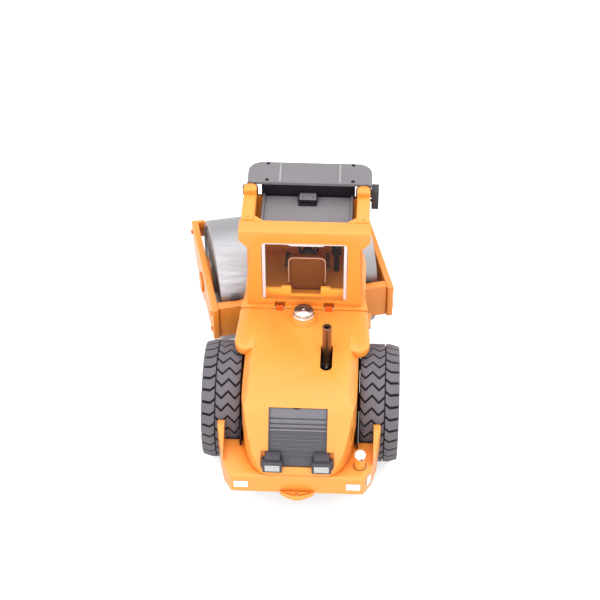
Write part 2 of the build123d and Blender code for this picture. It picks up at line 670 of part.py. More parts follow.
def drum_journals():
    """Stub axles with their mounting flanges."""
    w = FRAME_HALF - PLATE_T
    ring = [(20.7, 0), (FRAME_HALF + 0.6, 0), (FRAME_HALF + 0.6, 3.2), (FRAME_HALF, 3.2),
            (FRAME_HALF, JOURNAL_R),
            (w, JOURNAL_R), (w, 7.6), (w - 0.9, 7.6), (w - 0.9, JOURNAL_R), (20.7, JOURNAL_R)]
    return pair(turned_x(ring, DRUM_Y, DRUM_R))


def frame_bolts():
    """Bolt heads of the cross beams on both side plates."""
    heads = []
    for y, z in ((FRAME_REAR + 1.4, 18.7), (FRAME_REAR + 1.4, 25.0), (45.9, 23.4)):
        heads.append(rod(0.7, (FRAME_HALF, y, z), (FRAME_HALF + 0.5, y, z)))
    return pair(group(*heads))


def drum_scraper():
    """Scraper bar between beam and drum with two upright tabs."""
    bar = box(-21.5, 21.5, FRAME_REAR + 2.8, 7.8, 22.0, 22.8)
    for x in (-20.4, 20.4):
        bar += box(x - 1.4, x + 1.4, FRAME_REAR + 2.8, FRAME_REAR + 3.4, 22.0, 28.3)
    return bar


def drum_shell():
    """Rolled drum mantle."""
    wall = DRUM_R - 1.6
    ring = [(-DRUM_HALF, wall), (-DRUM_HALF, DRUM_R - 0.3), (-DRUM_HALF + 0.3, DRUM_R),
            (DRUM_HALF - 0.3, DRUM_R),
            (DRUM_HALF, DRUM_R - 0.3), (DRUM_HALF, wall)]
    return turned_x(ring, DRUM_Y, DRUM_R)


def drum_end_discs():
    """Recessed end discs with hubs that run on the journals."""
    bore = JOURNAL_R + RUN
    rim = DRUM_R - 1.6
    ring = [(20.7, bore), (24.6, bore), (24.6, 3.6), (23.6, 4.4), (23.6, rim), (22.4, rim), (22.4, 4.4),
            (20.7, 4.0)]
    discs = turned_x(ring, DRUM_Y, DRUM_R)
    for k in range(6):
        angle = math.radians(60 * k)
        y, z = DRUM_Y + 11.0 * math.cos(angle), DRUM_R + 11.0 * math.sin(angle)
        discs -= rod(1.3, (19, y, z), (25, y, z))
    return pair(discs)


# ---- assembly -----------------------------------------------------------
def rear_parts():
    """All parts fixed to the rear unit, the hood and the rear wheels."""
    hood_shape = hood()
    grille_shape = grille()
    return {
        "rear_chassis": rear_chassis(),
        "axle_bushes": axle_bushes(),
        "rear_bumper": rear_bumper(),
        "tow_hitch": tow_hitch(),
        "bumper_reflectors": bumper_reflectors(),
        "fuel_cap": fuel_cap(),
        "engine_block": engine_block(),
        "rocker_cover": rocker_cover(),
        "radiator": radiator(),
        "radiator_fan": radiator_fan(),
        "exhaust_pipe": exhaust_pipe(),
        "exhaust_clamp": exhaust_clamp(),
        "hood": hood_shape,
        "hood_shoulders": hood_shoulders(),
        "grille": grille_shape,
        "work_lamp_housings": work_lamp_housings(hood_shape, grille_shape),
        "work_lamp_lenses": group(lens_box(1), lens_box(-1)),
        "air_cleaner_cap": air_cleaner_cap(),
        "hood_hinge_pins": hood_hinge_pins(),
        "cab_base": cab_base(),
        "cab_rear_frame": cab_rear_frame(),
        "cab_side_left": cab_side(-1),
        "cab_side_right": cab_side(1),
        "cab_front_frame": cab_front_frame(),
        "glass_rear": glass_rear(),
        "glass_left": side_glass(-1),
        "glass_right": side_glass(1),
        "glass_front": glass_front(),
        "interior_bulkhead": interior_bulkhead(),
        "seat_base": seat_base(),
        "seat": seat(),
        "armrests": armrests(),
        "steering_column": steering_column(),
        "steering_wheel": steering_wheel(),
        "control_lever": control_lever(),
        "roof_panel": roof_panel(),
        "roof_struts": roof_struts(),
        "roof_latch": roof_latch(),
        "roof_header": roof_header(),
        "roof_visor": roof_visor(),
        "visor_screws": visor_screws(),
        "mirror_housing": mirror_housing(),
        "mirror_glass": mirror_glass(),
        "cab_steps": cab_steps(),
        "rear_axle": rear_axle(),
        "rear_rim_left": rear_rim(-1),
        "rear_rim_right": rear_rim(1),
        "rear_tyre_left": rear_tyre(-1),
        "rear_tyre_right": rear_tyre(1),
    }


def front_parts():
    """All parts of the drum unit in its own frame."""
    return {
        "frame_plate_left": frame_plate(-1),
        "frame_plate_right": frame_plate(1),
        "frame_rear_beam": frame_rear_beam(),
        "frame_front_beam": frame_front_beam(),
        "articulation_yoke": articulation_yoke(),
        "articulation_pin": articulation_pin(),
        "drum_journals": drum_journals(),
        "frame_bolts": frame_bolts(),
        "drum_scraper": drum_scraper(),
        "drum_shell": drum_shell(),
        "drum_end_discs": drum_end_discs(),
    }


def assembled():
    """Every part in the design frame, drum unit turned by the display angle."""
    parts = rear_parts()
    place = Pos(0, PIVOT_Y, 0) * Rot(0, 0, STEER)
    for name, shape in front_parts().items():
        parts[name] = place * shape
    return parts


def main():
    """Centre the assembly on the origin and write one file per part."""
    parts = assembled()
    limits = group(*parts.values()).bounding_box()
    shift = Pos(-(limits.min.X + limits.max.X) / 2, -(limits.min.Y + limits.max.Y) / 2, -limits.min.Z)
    os.makedirs("parts", exist_ok=True)
    for name, shape in parts.items():
        export_step(shift * shape, f"parts/{name}.step")
    print("shift", shift.position, "size", limits.size, "parts", len(parts))


if __name__ == "__main__":
    main()
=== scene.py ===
"""Visual model of the toy road roller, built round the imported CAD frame."""
import json
import logging
import math
from dataclasses import dataclass
from enum import Enum
from typing import Callable, Iterable, Sequence

import bpy
from mathutils import Matrix, Vector

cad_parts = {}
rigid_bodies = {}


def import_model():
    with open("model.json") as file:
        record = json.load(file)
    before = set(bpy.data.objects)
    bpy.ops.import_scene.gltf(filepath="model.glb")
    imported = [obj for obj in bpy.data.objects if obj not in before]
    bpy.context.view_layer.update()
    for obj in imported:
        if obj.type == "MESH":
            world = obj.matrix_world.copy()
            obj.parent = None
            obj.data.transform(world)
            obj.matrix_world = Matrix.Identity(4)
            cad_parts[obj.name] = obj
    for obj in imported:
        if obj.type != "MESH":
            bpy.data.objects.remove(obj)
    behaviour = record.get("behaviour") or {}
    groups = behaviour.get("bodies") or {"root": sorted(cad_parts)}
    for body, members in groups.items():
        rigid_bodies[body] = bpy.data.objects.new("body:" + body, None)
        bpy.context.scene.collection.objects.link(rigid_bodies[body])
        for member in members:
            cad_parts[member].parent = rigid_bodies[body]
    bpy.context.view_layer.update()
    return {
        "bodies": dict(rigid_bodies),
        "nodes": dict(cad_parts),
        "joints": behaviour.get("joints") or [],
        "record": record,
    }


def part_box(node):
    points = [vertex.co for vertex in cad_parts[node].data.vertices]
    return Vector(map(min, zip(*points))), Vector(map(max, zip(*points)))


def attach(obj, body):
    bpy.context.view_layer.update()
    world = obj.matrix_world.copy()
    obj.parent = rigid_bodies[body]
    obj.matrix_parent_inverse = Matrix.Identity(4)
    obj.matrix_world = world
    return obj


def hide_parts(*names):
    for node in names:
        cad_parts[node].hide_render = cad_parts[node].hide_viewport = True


LOG = logging.getLogger("roller")
MM = 0.001
Point2 = tuple[float, float]
Point3 = tuple[float, float, float]
Span = tuple[float, float]
Outline = tuple[Point2, ...]
Piece, Tree, Node, Socket = bpy.types.Object, bpy.types.NodeTree, bpy.types.Node, bpy.types.NodeSocket

REAR, HOOD, WHEELS, FRAME, DRUM = "rear_unit", "hood_unit", "rear_wheels", "drum_frame", "drum"
AXLE_Z = 17.0
WHEEL_R = 17.0
WELD = 0.0005          # merging distance, mm
FLAT_TURN = 0.5        # faces that turn less than this many degrees are one face
EDIT_ANGLE = 28.0      # edges sharper than this many degrees are rounded
SMOOTH_ANGLE = 32.0    # edges sharper than this many degrees stay sharp in the shading


class Axis(Enum):
    """Axis that an outline is pushed along; the outline's two numbers are the other two axes in order."""

    X = 0
    Y = 1
    Z = 2

    def place(self, a: float, b: float, c: float) -> Vector:
        """Returns the point, in metres, with outline place (a, b) and c along this axis.

        Args:
            a: first place of the outline, in millimetres.
            b: second place of the outline.
            c: place along this axis.

        Returns:
            The point in metres.
        """
        values = [a, b]
        values.insert(self.value, c)
        return Vector(values) * MM

    def vector(self) -> Vector:
        """Returns the unit vector of this axis."""
        return Vector([1.0 if i == self.value else 0.0 for i in range(3)])


# ---- workbench -------------------------------------------------------------
def deselect() -> None:
    """Leaves edit mode and deselects every object."""
    if bpy.context.mode != "OBJECT":
        bpy.ops.object.mode_set(mode="OBJECT")
    bpy.ops.object.select_all(action="DESELECT")


def activate(obj: Piece) -> None:
    """Makes an object the only selected and the active one.

    Args:
        obj: the object.
    """
    deselect()
    obj.select_set(True)
    bpy.context.view_layer.objects.active = obj


def open_edit(obj: Piece) -> None:
    """Opens an object in edit mode with everything selected.

    Args:
        obj: object to open.
    """
    activate(obj)
    bpy.ops.object.mode_set(mode="EDIT")
    bpy.ops.mesh.select_all(action="SELECT")


def close_edit(merge: float = WELD) -> None:
    """Merges doubles, turns every normal outwards and leaves edit mode.

    Args:
        merge: merging distance in millimetres.
    """
    bpy.ops.mesh.select_all(action="SELECT")
    bpy.ops.mesh.remove_doubles(threshold=merge * MM)
    bpy.ops.mesh.normals_make_consistent(inside=False)
    bpy.ops.object.mode_set(mode="OBJECT")


def take_new(name: str) -> Piece:
    """Names the primitive that was just added and bakes its place into its mesh.

    Args:
        name: name of the object and its mesh.

    Returns:
        The object, at the origin, unturned and unscaled.
    """
    obj = bpy.context.active_object
    obj.name = name
    obj.data.name = name
    bpy.ops.object.transform_apply(location=True, rotation=True, scale=True)
    return obj


def block(name: str, x: Span, y: Span, z: Span) -> Piece:
    """Adds a cube between the given limits.

    Args:
        name: name of the new object.
        x: limits across, in millimetres.
        y: limits lengthways.
        z: limits upwards.

    Returns:
        The new object.
    """
    deselect()
    centre = Vector((sum(x) / 2, sum(y) / 2, sum(z) / 2)) * MM
    size = Vector((x[1] - x[0], y[1] - y[0], z[1] - z[0])) * MM
    bpy.ops.mesh.primitive_cube_add(size=1, location=centre, scale=size)
    return take_new(name)


def rod(name: str, radius: float, start: Point3, end: Point3, sides: int = 32) -> Piece:
    """Adds a cylinder between two points.

    Args:
        name: name of the new object.
        radius: radius in millimetres.
        start: centre of one end.
        end: centre of the other end.
        sides: number of flat sides round it.

    Returns:
        The new object.
    """
    deselect()
    a, b = Vector(start) * MM, Vector(end) * MM
    turn = (b - a).to_track_quat("Z", "Y").to_euler()
    bpy.ops.mesh.primitive_cylinder_add(vertices=sides, radius=radius * MM, depth=(b - a).length,
                                        location=(a + b) / 2, rotation=turn)
    return take_new(name)


def ball(name: str, radius: float, centre: Point3, squash: Point3 = (1, 1, 1)) -> Piece:
    """Adds a sphere, flattened by squash along each axis.

    Args:
        name: name of the new object.
        radius: radius in millimetres.
        centre: centre point.
        squash: scale along each axis.

    Returns:
        The new object.
    """
    deselect()
    bpy.ops.mesh.primitive_uv_sphere_add(segments=24, ring_count=12, radius=radius * MM,
                                         location=Vector(centre) * MM, scale=squash)
    return take_new(name)


def outline_prism(name: str, points: Sequence[Point2], axis: Axis, span: Span) -> Piece:
    """Extrudes a closed outline along an axis.

    Args:
        name: name of the new object.
        points: corners of the outline in millimetres.
        axis: direction of the extrusion.
        span: where the extrusion starts and ends.

    Returns:
        The new object.
    """
    deselect()
    bpy.ops.mesh.primitive_circle_add(vertices=len(points), radius=1.0, fill_type="NGON")
    obj = take_new(name)
    for vert, (a, b) in zip(obj.data.vertices, points):
        vert.co = axis.place(a, b, span[0])
    open_edit(obj)
    push = axis.vector() * (span[1] - span[0]) * MM
    bpy.ops.mesh.extrude_region_move(TRANSFORM_OT_translate={"value": push})
    close_edit()
    return obj


def lathe(name: str, profile: Sequence[Point2], start: Point3, axis: Axis, steps: int = 64) -> Piece:
    """Spins a closed profile into a turned piece.

    Args:
        name: name of the new object.
        profile: corners as (place along the axis, radius), in millimetres.
        start: point on the axis that the profile's places count from.
        axis: axis of the turning.
        steps: number of segments round it.

    Returns:
        The new object.
    """
    deselect()
    bpy.ops.mesh.primitive_circle_add(vertices=len(profile), radius=1.0, fill_type="NOTHING")
    obj = take_new(name)
    side = Axis.Z if axis is not Axis.Z else Axis.X
    centre = Vector(start) * MM
    for vert, (along, radius) in zip(obj.data.vertices, profile):
        vert.co = centre + axis.vector() * along * MM + side.vector() * radius * MM
    open_edit(obj)
    bpy.ops.mesh.spin(steps=steps, angle=math.tau, center=centre, axis=axis.vector())
    close_edit()
    return obj


def apply_modifier(obj: Piece, kind: str, **values: object) -> None:
    """Adds a modifier with the given settings and applies it.

    Args:
        obj: object to change.
        kind: modifier type.
        values: settings of the modifier.
    """
    mod = obj.modifiers.new(kind.lower(), kind)
    for key, value in values.items():
        setattr(mod, key, value)
    activate(obj)
    bpy.ops.object.modifier_apply(modifier=mod.name)


def combine(obj: Piece, how: str, others: Iterable[Piece]) -> Piece:
    """Applies one boolean per other object and removes the others.

    Args:
        obj: object to change.
        how: DIFFERENCE or INTERSECT.
        others: tool objects, used up.

    Returns:
        The changed object.
    """
    for other in others:
        apply_modifier(obj, "BOOLEAN", object=other, operation=how, solver="EXACT")
        bpy.data.objects.remove(other, do_unlink=True)
    return obj


def carve(obj: Piece, *tools: Piece) -> Piece:
    """Returns obj with the tools cut out of it."""
    return combine(obj, "DIFFERENCE", tools)


def common(obj: Piece, *parts: Piece) -> Piece:
    """Returns what obj and all the parts share."""
    return combine(obj, "INTERSECT", parts)


def join(name: str, *parts: Piece) -> Piece:
    """Joins separate objects into one without fusing them.

    Args:
        name: name of the result.
        parts: objects to join; the first is kept.

    Returns:
        The joined object.
    """
    deselect()
    for part in parts:
        part.select_set(True)
    bpy.context.view_layer.objects.active = parts[0]
    bpy.ops.object.join()
    parts[0].name = name
    parts[0].data.name = name
    return parts[0]


def shift(obj: Piece, move: Matrix) -> None:
    """Moves a mesh, keeping its faces pointing outwards.

    Args:
        obj: object to move.
        move: placement, possibly mirrored.
    """
    obj.data.transform(move)
    if move.determinant() < 0:
        obj.data.flip_normals()


def copy_of(obj: Piece, name: str, move: Matrix | None = None) -> Piece:
    """Copies an object with its own mesh.

    Args:
        obj: object to copy.
        name: name of the copy.
        move: placement of the copy relative to the original, in metres.

    Returns:
        The copy.
    """
    new = obj.copy()
    new.data = obj.data.copy()
    new.name = name
    new.data.name = name
    bpy.context.collection.objects.link(new)
    if move is not None:
        shift(new, move)
    return new


MIRROR_X = Matrix.Scale(-1, 4, (1, 0, 0))


def with_mirror(obj: Piece) -> Piece:
    """Returns obj joined with its mirror image across the centre plane."""
    return join(obj.name, obj, copy_of(obj, obj.name + "_twin", MIRROR_X))


def round_edges(obj: Piece, radius: float, segments: int = 3, angle: float = EDIT_ANGLE) -> Piece:
    """Tidies flat faces and bevels every sharp edge.

    Args:
        obj: object to change.
        radius: width of the bevel in millimetres.
        segments: number of facets across each bevel.
        angle: edges that turn more than this many degrees are bevelled.

    Returns:
        The changed object.
    """
    open_edit(obj)
    bpy.ops.mesh.remove_doubles(threshold=0.002 * MM)
    bpy.ops.mesh.dissolve_limited(angle_limit=math.radians(FLAT_TURN))
    bpy.ops.object.mode_set(mode="OBJECT")
    apply_modifier(obj, "BEVEL", width=radius * MM, segments=segments, limit_method="ANGLE",
                   angle_limit=math.radians(angle), use_clamp_overlap=True, miter_outer="MITER_ARC")
    return obj


def slab(name: str, x: Span, y: Span, z: Span, radius: float, segments: int) -> Piece:
    """Returns a cube between the given limits with every edge rounded."""
    return round_edges(block(name, x, y, z), radius, segments)


def bevel_where(obj: Piece, test: Callable[[Vector, Vector], bool], radius: float,
                segments: int = 6) -> Piece:
    """Bevels the edges that a test picks.

    Args:
        obj: object to change.
        test: takes an edge's middle, in millimetres, and its direction.
        radius: width of the bevel in millimetres.
        segments: number of facets across it.

    Returns:
        The changed object.
    """
    activate(obj)
    bpy.ops.object.mode_set(mode="EDIT")
    bpy.ops.mesh.select_mode(type="EDGE")
    bpy.ops.mesh.select_all(action="DESELECT")
    bpy.ops.object.mode_set(mode="OBJECT")
    mesh = obj.data
    for edge in mesh.edges:
        a, b = (mesh.vertices[i].co for i in edge.vertices)
        edge.select = test((a + b) / 2 / MM, (b - a).normalized())
    bpy.ops.object.mode_set(mode="EDIT")
    bpy.ops.mesh.bevel(offset=radius * MM, segments=segments, affect="EDGES")
    close_edit()
    return obj


def smooth(obj: Piece, angle: float = SMOOTH_ANGLE) -> Piece:
    """Shades an object smooth except across its sharp edges.

    Args:
        obj: object to shade.
        angle: edges sharper than this many degrees stay sharp.

    Returns:
        The shaded object.
    """
    activate(obj)
    bpy.ops.object.shade_smooth_by_angle(angle=math.radians(angle))
    return obj


def mirrored(half: Sequence[Point2]) -> list[Point2]:
    """Returns an outline given for positive x, closed with its mirror image."""
    return [*half, *((-x, y) for x, y in reversed(half))]


# ---- places ----------------------------------------------------------------
@dataclass(frozen=True)
class Places:
    """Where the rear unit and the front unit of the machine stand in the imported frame."""

    rear: Matrix
    front: Matrix

    @classmethod
    def from_frame(cls) -> "Places":
        """Reads the placements from the axle, the articulation pin and the drum.

        Returns:
            The placements of both units.
        """
        axle, pin, drum = (cls.centre(node) for node in ("rear_axle", "articulation_pin", "drum_shell"))
        heading = math.atan2(-(drum.x - pin.x), drum.y - pin.y)
        rear = Matrix.Translation((axle.x, axle.y, 0))
        front = Matrix.Translation((pin.x, pin.y, 0)) @ Matrix.Rotation(heading, 4, "Z")
        return cls(rear, front)

    @staticmethod
    def centre(node: str) -> Vector:
        """Returns the centre of a CAD node's box."""
        low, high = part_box(node)
        return (Vector(low) + Vector(high)) / 2


# ---- shared shader groups ----------------------------------------------------
def new_group(name: str, inputs: dict[str, tuple[str, object]], outputs: dict[str, str]) -> Tree:
    """Starts a shader node group with named sockets.

    Args:
        name: name of the group.
        inputs: socket name to (socket type, default).
        outputs: socket name to socket type.

    Returns:
        The group, with its input and output nodes called In and Out.
    """
    tree = bpy.data.node_groups.new(name, "ShaderNodeTree")
    for key, (kind, default) in inputs.items():
        socket = tree.interface.new_socket(key, in_out="INPUT", socket_type=kind)
        if default is not None:
            socket.default_value = default
    for key, kind in outputs.items():
        tree.interface.new_socket(key, in_out="OUTPUT", socket_type=kind)
    tree.nodes.new("NodeGroupInput").name = "In"
    tree.nodes.new("NodeGroupOutput").name = "Out"
    return tree


def add(tree: Tree, kind: str, **values: object) -> Node:
    """Adds a node and sets it up.

    Args:
        tree: tree to add to.
        kind: node type without its ShaderNode prefix.
        values: the node's own settings, input sockets by name, or by number as i0, i1 and so on;
            an output socket given as a value is linked.

    Returns:
        The new node.
    """
    node = tree.nodes.new("ShaderNode" + kind)
    sockets = {}
    for key, value in values.items():
        if hasattr(node, key):
            setattr(node, key, value)
        else:
            sockets[key] = value
    for key, value in sockets.items():
        numbered = key[0] == "i" and key[1:].isdigit()
        target = node.inputs[int(key[1:]) if numbered else key.replace("_", " ")]
        if isinstance(value, Socket):
            tree.links.new(value, target)
        else:
            target.default_value = value
    return node


def ramp(tree: Tree, value: Socket, low: float, high: float,
         start: float = 0.0, end: float = 1.0) -> Socket:
    """Returns a socket that goes from start to end while the value goes from low to high."""
    return add(tree, "MapRange", i0=value, i1=low, i2=high, i3=start, i4=end).outputs["Result"]


def times(tree: Tree, a: object, b: object) -> Socket:
    """Returns the product of two sockets, or of a socket and a number."""
    return add(tree, "Math", operation="MULTIPLY", i0=a, i1=b).outputs[0]


def grain_group() -> Tree:
    """Makes the group for fine grain and slow cloudy variation, once.

    Returns:
        The group, with outputs Height and Cloud.
    """
    name = "CastGrain"
    if name in bpy.data.node_groups:
        return bpy.data.node_groups[name]
    tree = new_group(name, {"Vector": ("NodeSocketVector", None), "Fine": ("NodeSocketFloat", 2500.0),
                            "Broad": ("NodeSocketFloat", 60.0)},
                     {"Height": "NodeSocketFloat", "Cloud": "NodeSocketFloat"})
    vector = tree.nodes["In"].outputs["Vector"]
    fine = add(tree, "TexNoise", Vector=vector, Scale=tree.nodes["In"].outputs["Fine"],
               Detail=3.0, Roughness=0.55)
    broad = add(tree, "TexNoise", Vector=vector, Scale=tree.nodes["In"].outputs["Broad"],
                Detail=4.0, Roughness=0.6)
    tree.links.new(fine.outputs["Fac"], tree.nodes["Out"].inputs["Height"])
    tree.links.new(broad.outputs["Fac"], tree.nodes["Out"].inputs["Cloud"])
    return tree


def wear_highlight_and_shade_group() -> Tree:
    """Makes the group that finds convex edges broken up by noise, for worn edges and painted highlight, and
    dark corners by ambient occlusion, for painted shade, once.

    Returns:
        The group, with outputs Mask, for worn edges and painted highlight, and Hollow, for painted shade.
    """
    name = "EdgeRub"
    if name in bpy.data.node_groups:
        return bpy.data.node_groups[name]
    tree = new_group(name, {"Vector": ("NodeSocketVector", None), "Width": ("NodeSocketFloat", 0.00018),
                            "Reach": ("NodeSocketFloat", 0.0025), "Scale": ("NodeSocketFloat", 900.0)},
                     {"Mask": "NodeSocketFloat", "Hollow": "NodeSocketFloat"})
    inputs = tree.nodes["In"].outputs
    bent = add(tree, "Bevel", samples=4, Radius=inputs["Width"])
    flat = add(tree, "NewGeometry")
    same = add(tree, "VectorMath", operation="DOT_PRODUCT", i0=bent.outputs["Normal"],
               i1=flat.outputs["Normal"])
    edge = ramp(tree, same.outputs["Value"], 0.99, 0.85)
    open_air = add(tree, "AmbientOcclusion", samples=6, Distance=inputs["Reach"])
    noise = add(tree, "TexNoise", Vector=inputs["Vector"], Scale=inputs["Scale"], Detail=4.0)
    broken = ramp(tree, noise.outputs["Fac"], 0.35, 0.6)
    convex = ramp(tree, open_air.outputs["AO"], 0.75, 0.95)
    # edge mask: worn edges and painted highlight
    rubbed_and_lit = times(tree, edge, broken)
    mask = times(tree, rubbed_and_lit, convex)
    # painted shade: darker where ambient occlusion finds a hollow
    hollow = ramp(tree, open_air.outputs["AO"], 0.85, 0.3)
    tree.links.new(mask, tree.nodes["Out"].inputs["Mask"])
    tree.links.new(hollow, tree.nodes["Out"].inputs["Hollow"])
    return tree


def dust_group() -> Tree:
    """Makes the group that scatters sparse fine specks, once.

    Returns:
        The group, with the output Mask.
    """
    name = "FineDust"
    if name in bpy.data.node_groups:
        return bpy.data.node_groups[name]
    tree = new_group(name, {"Vector": ("NodeSocketVector", None), "Scale": ("NodeSocketFloat", 1400.0),
                            "Amount": ("NodeSocketFloat", 0.12)}, {"Mask": "NodeSocketFloat"})
    inputs = tree.nodes["In"].outputs
    cells = add(tree, "TexVoronoi", Vector=inputs["Vector"], Scale=inputs["Scale"])
    speck = add(tree, "Math", operation="LESS_THAN", i0=cells.outputs["Distance"],
                i1=inputs["Amount"]).outputs[0]
    patch = add(tree, "TexNoise", Vector=inputs["Vector"], Scale=220.0, Detail=2.0)
    patch_on = ramp(tree, patch.outputs["Fac"], 0.52, 0.66)
    mask = times(tree, speck, patch_on)
    tree.links.new(mask, tree.nodes["Out"].inputs["Mask"])
    return tree


def group_node(tree: Tree, group: Tree, vector: Socket, **values: float) -> Node:
    """Places a shared group in a material.

    Args:
        tree: the material's tree.
        group: the shared group.
        vector: position socket that feeds it.
        values: values of its other inputs.

    Returns:
        The group node.
    """
    node = tree.nodes.new("ShaderNodeGroup")
    node.node_tree = group
    tree.links.new(vector, node.inputs["Vector"])
    for key, value in values.items():
        node.inputs[key].default_value = value
    return node


def mix_colour(tree: Tree, factor: Socket, a: object, b: object) -> Socket:
    """Mixes two colours.

    Args:
        tree: the material's tree.
        factor: socket with the share of b.
        a: colour or socket.
        b: colour or socket.

    Returns:
        The mixed colour's socket.
    """
    node = tree.nodes.new("ShaderNodeMix")
    node.data_type = "RGBA"
    tree.links.new(factor, node.inputs["Factor"])
    for key, value in (("A", a), ("B", b)):
        socket = next(s for s in node.inputs if s.name == key and s.type == "RGBA")
        if isinstance(value, Socket):
            tree.links.new(value, socket)
        else:
            socket.default_value = (*value, 1.0)
    return next(s for s in node.outputs if s.type == "RGBA")


# ---- finishes ----------------------------------------------------------------
Colour = tuple[float, float, float]
GRAIN_RANGE = (0.3, 0.7)                 # where most of the grain's values lie
ENAMEL_DUST = (0.9, 0.82, 0.7)
PLASTIC_DUST = (0.6, 0.58, 0.56)


def shade_of(colour: Colour, share: float, lift: float = 0.0) -> Colour:
    """Returns a colour times share plus lift, at most 1."""
    return tuple(min(1.0, c * share + lift) for c in colour)


@dataclass(frozen=True)
class Finish:
    """A finish that can dress a piece, and the record's material slot that it belongs to."""

    name: str
    slot: str
    colour: Colour

    def material(self) -> bpy.types.Material:
        """Makes this finish's material, once.

        Returns:
            The material.
        """
        found = bpy.data.materials.get("finish_" + self.name)
        if found is not None:
            return found
        made = bpy.data.materials.new("finish_" + self.name)
        made.use_nodes = True
        tree = made.node_tree
        position = add(tree, "TexCoord").outputs["Object"]
        self.wire(tree, tree.nodes["Principled BSDF"], position)
        return made

    def relief(self, tree: Tree, shader: Node, grain: Node, source: str,
               gloss: Span, strength: float, depth: float) -> None:
        """Wires uneven gloss and fine relief.

        Args:
            tree: the material's tree.
            shader: its shader.
            grain: the placed grain group.
            source: output of the grain group that varies the gloss.
            gloss: lowest and highest roughness.
            strength: strength of the relief.
            depth: height of the relief in metres.
        """
        rough = ramp(tree, grain.outputs[source], *GRAIN_RANGE, *gloss)
        tree.links.new(rough, shader.inputs["Roughness"])
        bump = add(tree, "Bump", Strength=strength, Distance=depth, Height=grain.outputs["Height"])
        tree.links.new(bump.outputs["Normal"], shader.inputs["Normal"])

    def wire(self, tree: Tree, shader: Node, position: Socket) -> None:
        """Sets up the shader; the plain finish has one colour."""
        shader.inputs["Base Color"].default_value = (*self.colour, 1.0)


@dataclass(frozen=True)
class Enamel(Finish):
    """Sprayed gloss paint on a casting, paler on edges where it is worn thin and where a painted highlight is
    laid, darker in corners as painted shade, and glowing as painted light where glow is given.
    """

    # edge is the colour of worn and highlighted edges, corner the colour of the painted shade in corners,
    # glow the strength of painted light
    edge: Colour = (1.0, 0.62, 0.22)
    corner: Colour = (0.75, 0.22, 0.02)
    roughness: float = 0.3
    rub_and_highlight: float = 0.35
    dust: float = 0.12
    glow: float = 0.0

    def wire(self, tree: Tree, shader: Node, position: Socket) -> None:
        """Wires cloudy tone, pale edges that are partly worn paint and partly painted highlight, painted
        shade in hollows, dust, a painted glow and orange-peel gloss.

        Args:
            tree: the material's tree.
            shader: its shader.
            position: socket with the place on the object.
        """
        grain = group_node(tree, grain_group(), position, Fine=1500.0, Broad=45.0)
        wear_highlight_and_shade = group_node(tree, wear_highlight_and_shade_group(), position, Width=0.0002)
        dust = group_node(tree, dust_group(), position, Scale=1500.0, Amount=0.08)
        tone = ramp(tree, grain.outputs["Cloud"], *GRAIN_RANGE, 0.0, 0.5)
        base = mix_colour(tree, tone, self.colour, shade_of(self.colour, 0.92))
        # painted shade: darker towards the corner colour in hollows
        base = mix_colour(tree, times(tree, wear_highlight_and_shade.outputs["Hollow"], 0.7), base, self.corner)
        # pale edges: worn paint and painted highlight
        base = mix_colour(tree, times(tree, wear_highlight_and_shade.outputs["Mask"], self.rub_and_highlight), base, self.edge)
        base = mix_colour(tree, times(tree, dust.outputs["Mask"], self.dust), base, ENAMEL_DUST)
        tree.links.new(base, shader.inputs["Base Color"])
        shader.inputs["Coat Weight"].default_value = 0.2
        shader.inputs["Coat Roughness"].default_value = 0.22
        # painted light: the enamel glows in its own colour as strong as glow
        shader.inputs["Emission Color"].default_value = (*self.colour, 1.0)
        shader.inputs["Emission Strength"].default_value = self.glow
        gloss = (self.roughness - 0.03, self.roughness + 0.05)
        self.relief(tree, shader, grain, "Cloud", gloss, 0.04, 0.00002)


@dataclass(frozen=True)
class Moulding(Finish):
    """Moulded plastic or rubber with a fine grain, pale edges that are partly worn and partly painted
    highlight, and painted shade in hollows.
    """

    roughness: float = 0.45
    grain: float = 0.25
    fine: float = 3000.0
    # edge_lift brightens the edges: worn plastic and painted highlight
    edge_lift: float = 1.35
    specular: float = 0.5
    dust: float = 0.25

    def wire(self, tree: Tree, shader: Node, position: Socket) -> None:
        """Wires grain, cloudy tone, pale edges that are partly worn and partly painted highlight, painted
        shade in hollows and a little dust.

        Args:
            tree: the material's tree.
            shader: its shader.
            position: socket with the place on the object.
        """
        grain = group_node(tree, grain_group(), position, Fine=self.fine, Broad=90.0)
        wear_highlight_and_shade = group_node(tree, wear_highlight_and_shade_group(), position, Width=0.00012, Scale=1200.0)
        dust = group_node(tree, dust_group(), position, Scale=1800.0, Amount=0.09)
        tone = ramp(tree, grain.outputs["Cloud"], *GRAIN_RANGE, 0.0, 0.4)
        base = mix_colour(tree, tone, self.colour, shade_of(self.colour, 0.8))
        # pale edges: worn plastic and painted highlight
        base = mix_colour(tree, wear_highlight_and_shade.outputs["Mask"], base, shade_of(self.colour, self.edge_lift, 0.01))
        # painted shade: darker in hollows
        base = mix_colour(tree, times(tree, wear_highlight_and_shade.outputs["Hollow"], 0.5), base, shade_of(self.colour, 0.35))
        base = mix_colour(tree, times(tree, dust.outputs["Mask"], self.dust), base, PLASTIC_DUST)
        tree.links.new(base, shader.inputs["Base Color"])
        shader.inputs["Specular IOR Level"].default_value = self.specular
        gloss = (self.roughness - 0.06, self.roughness + 0.08)
        self.relief(tree, shader, grain, "Cloud", gloss, self.grain, 0.00005)


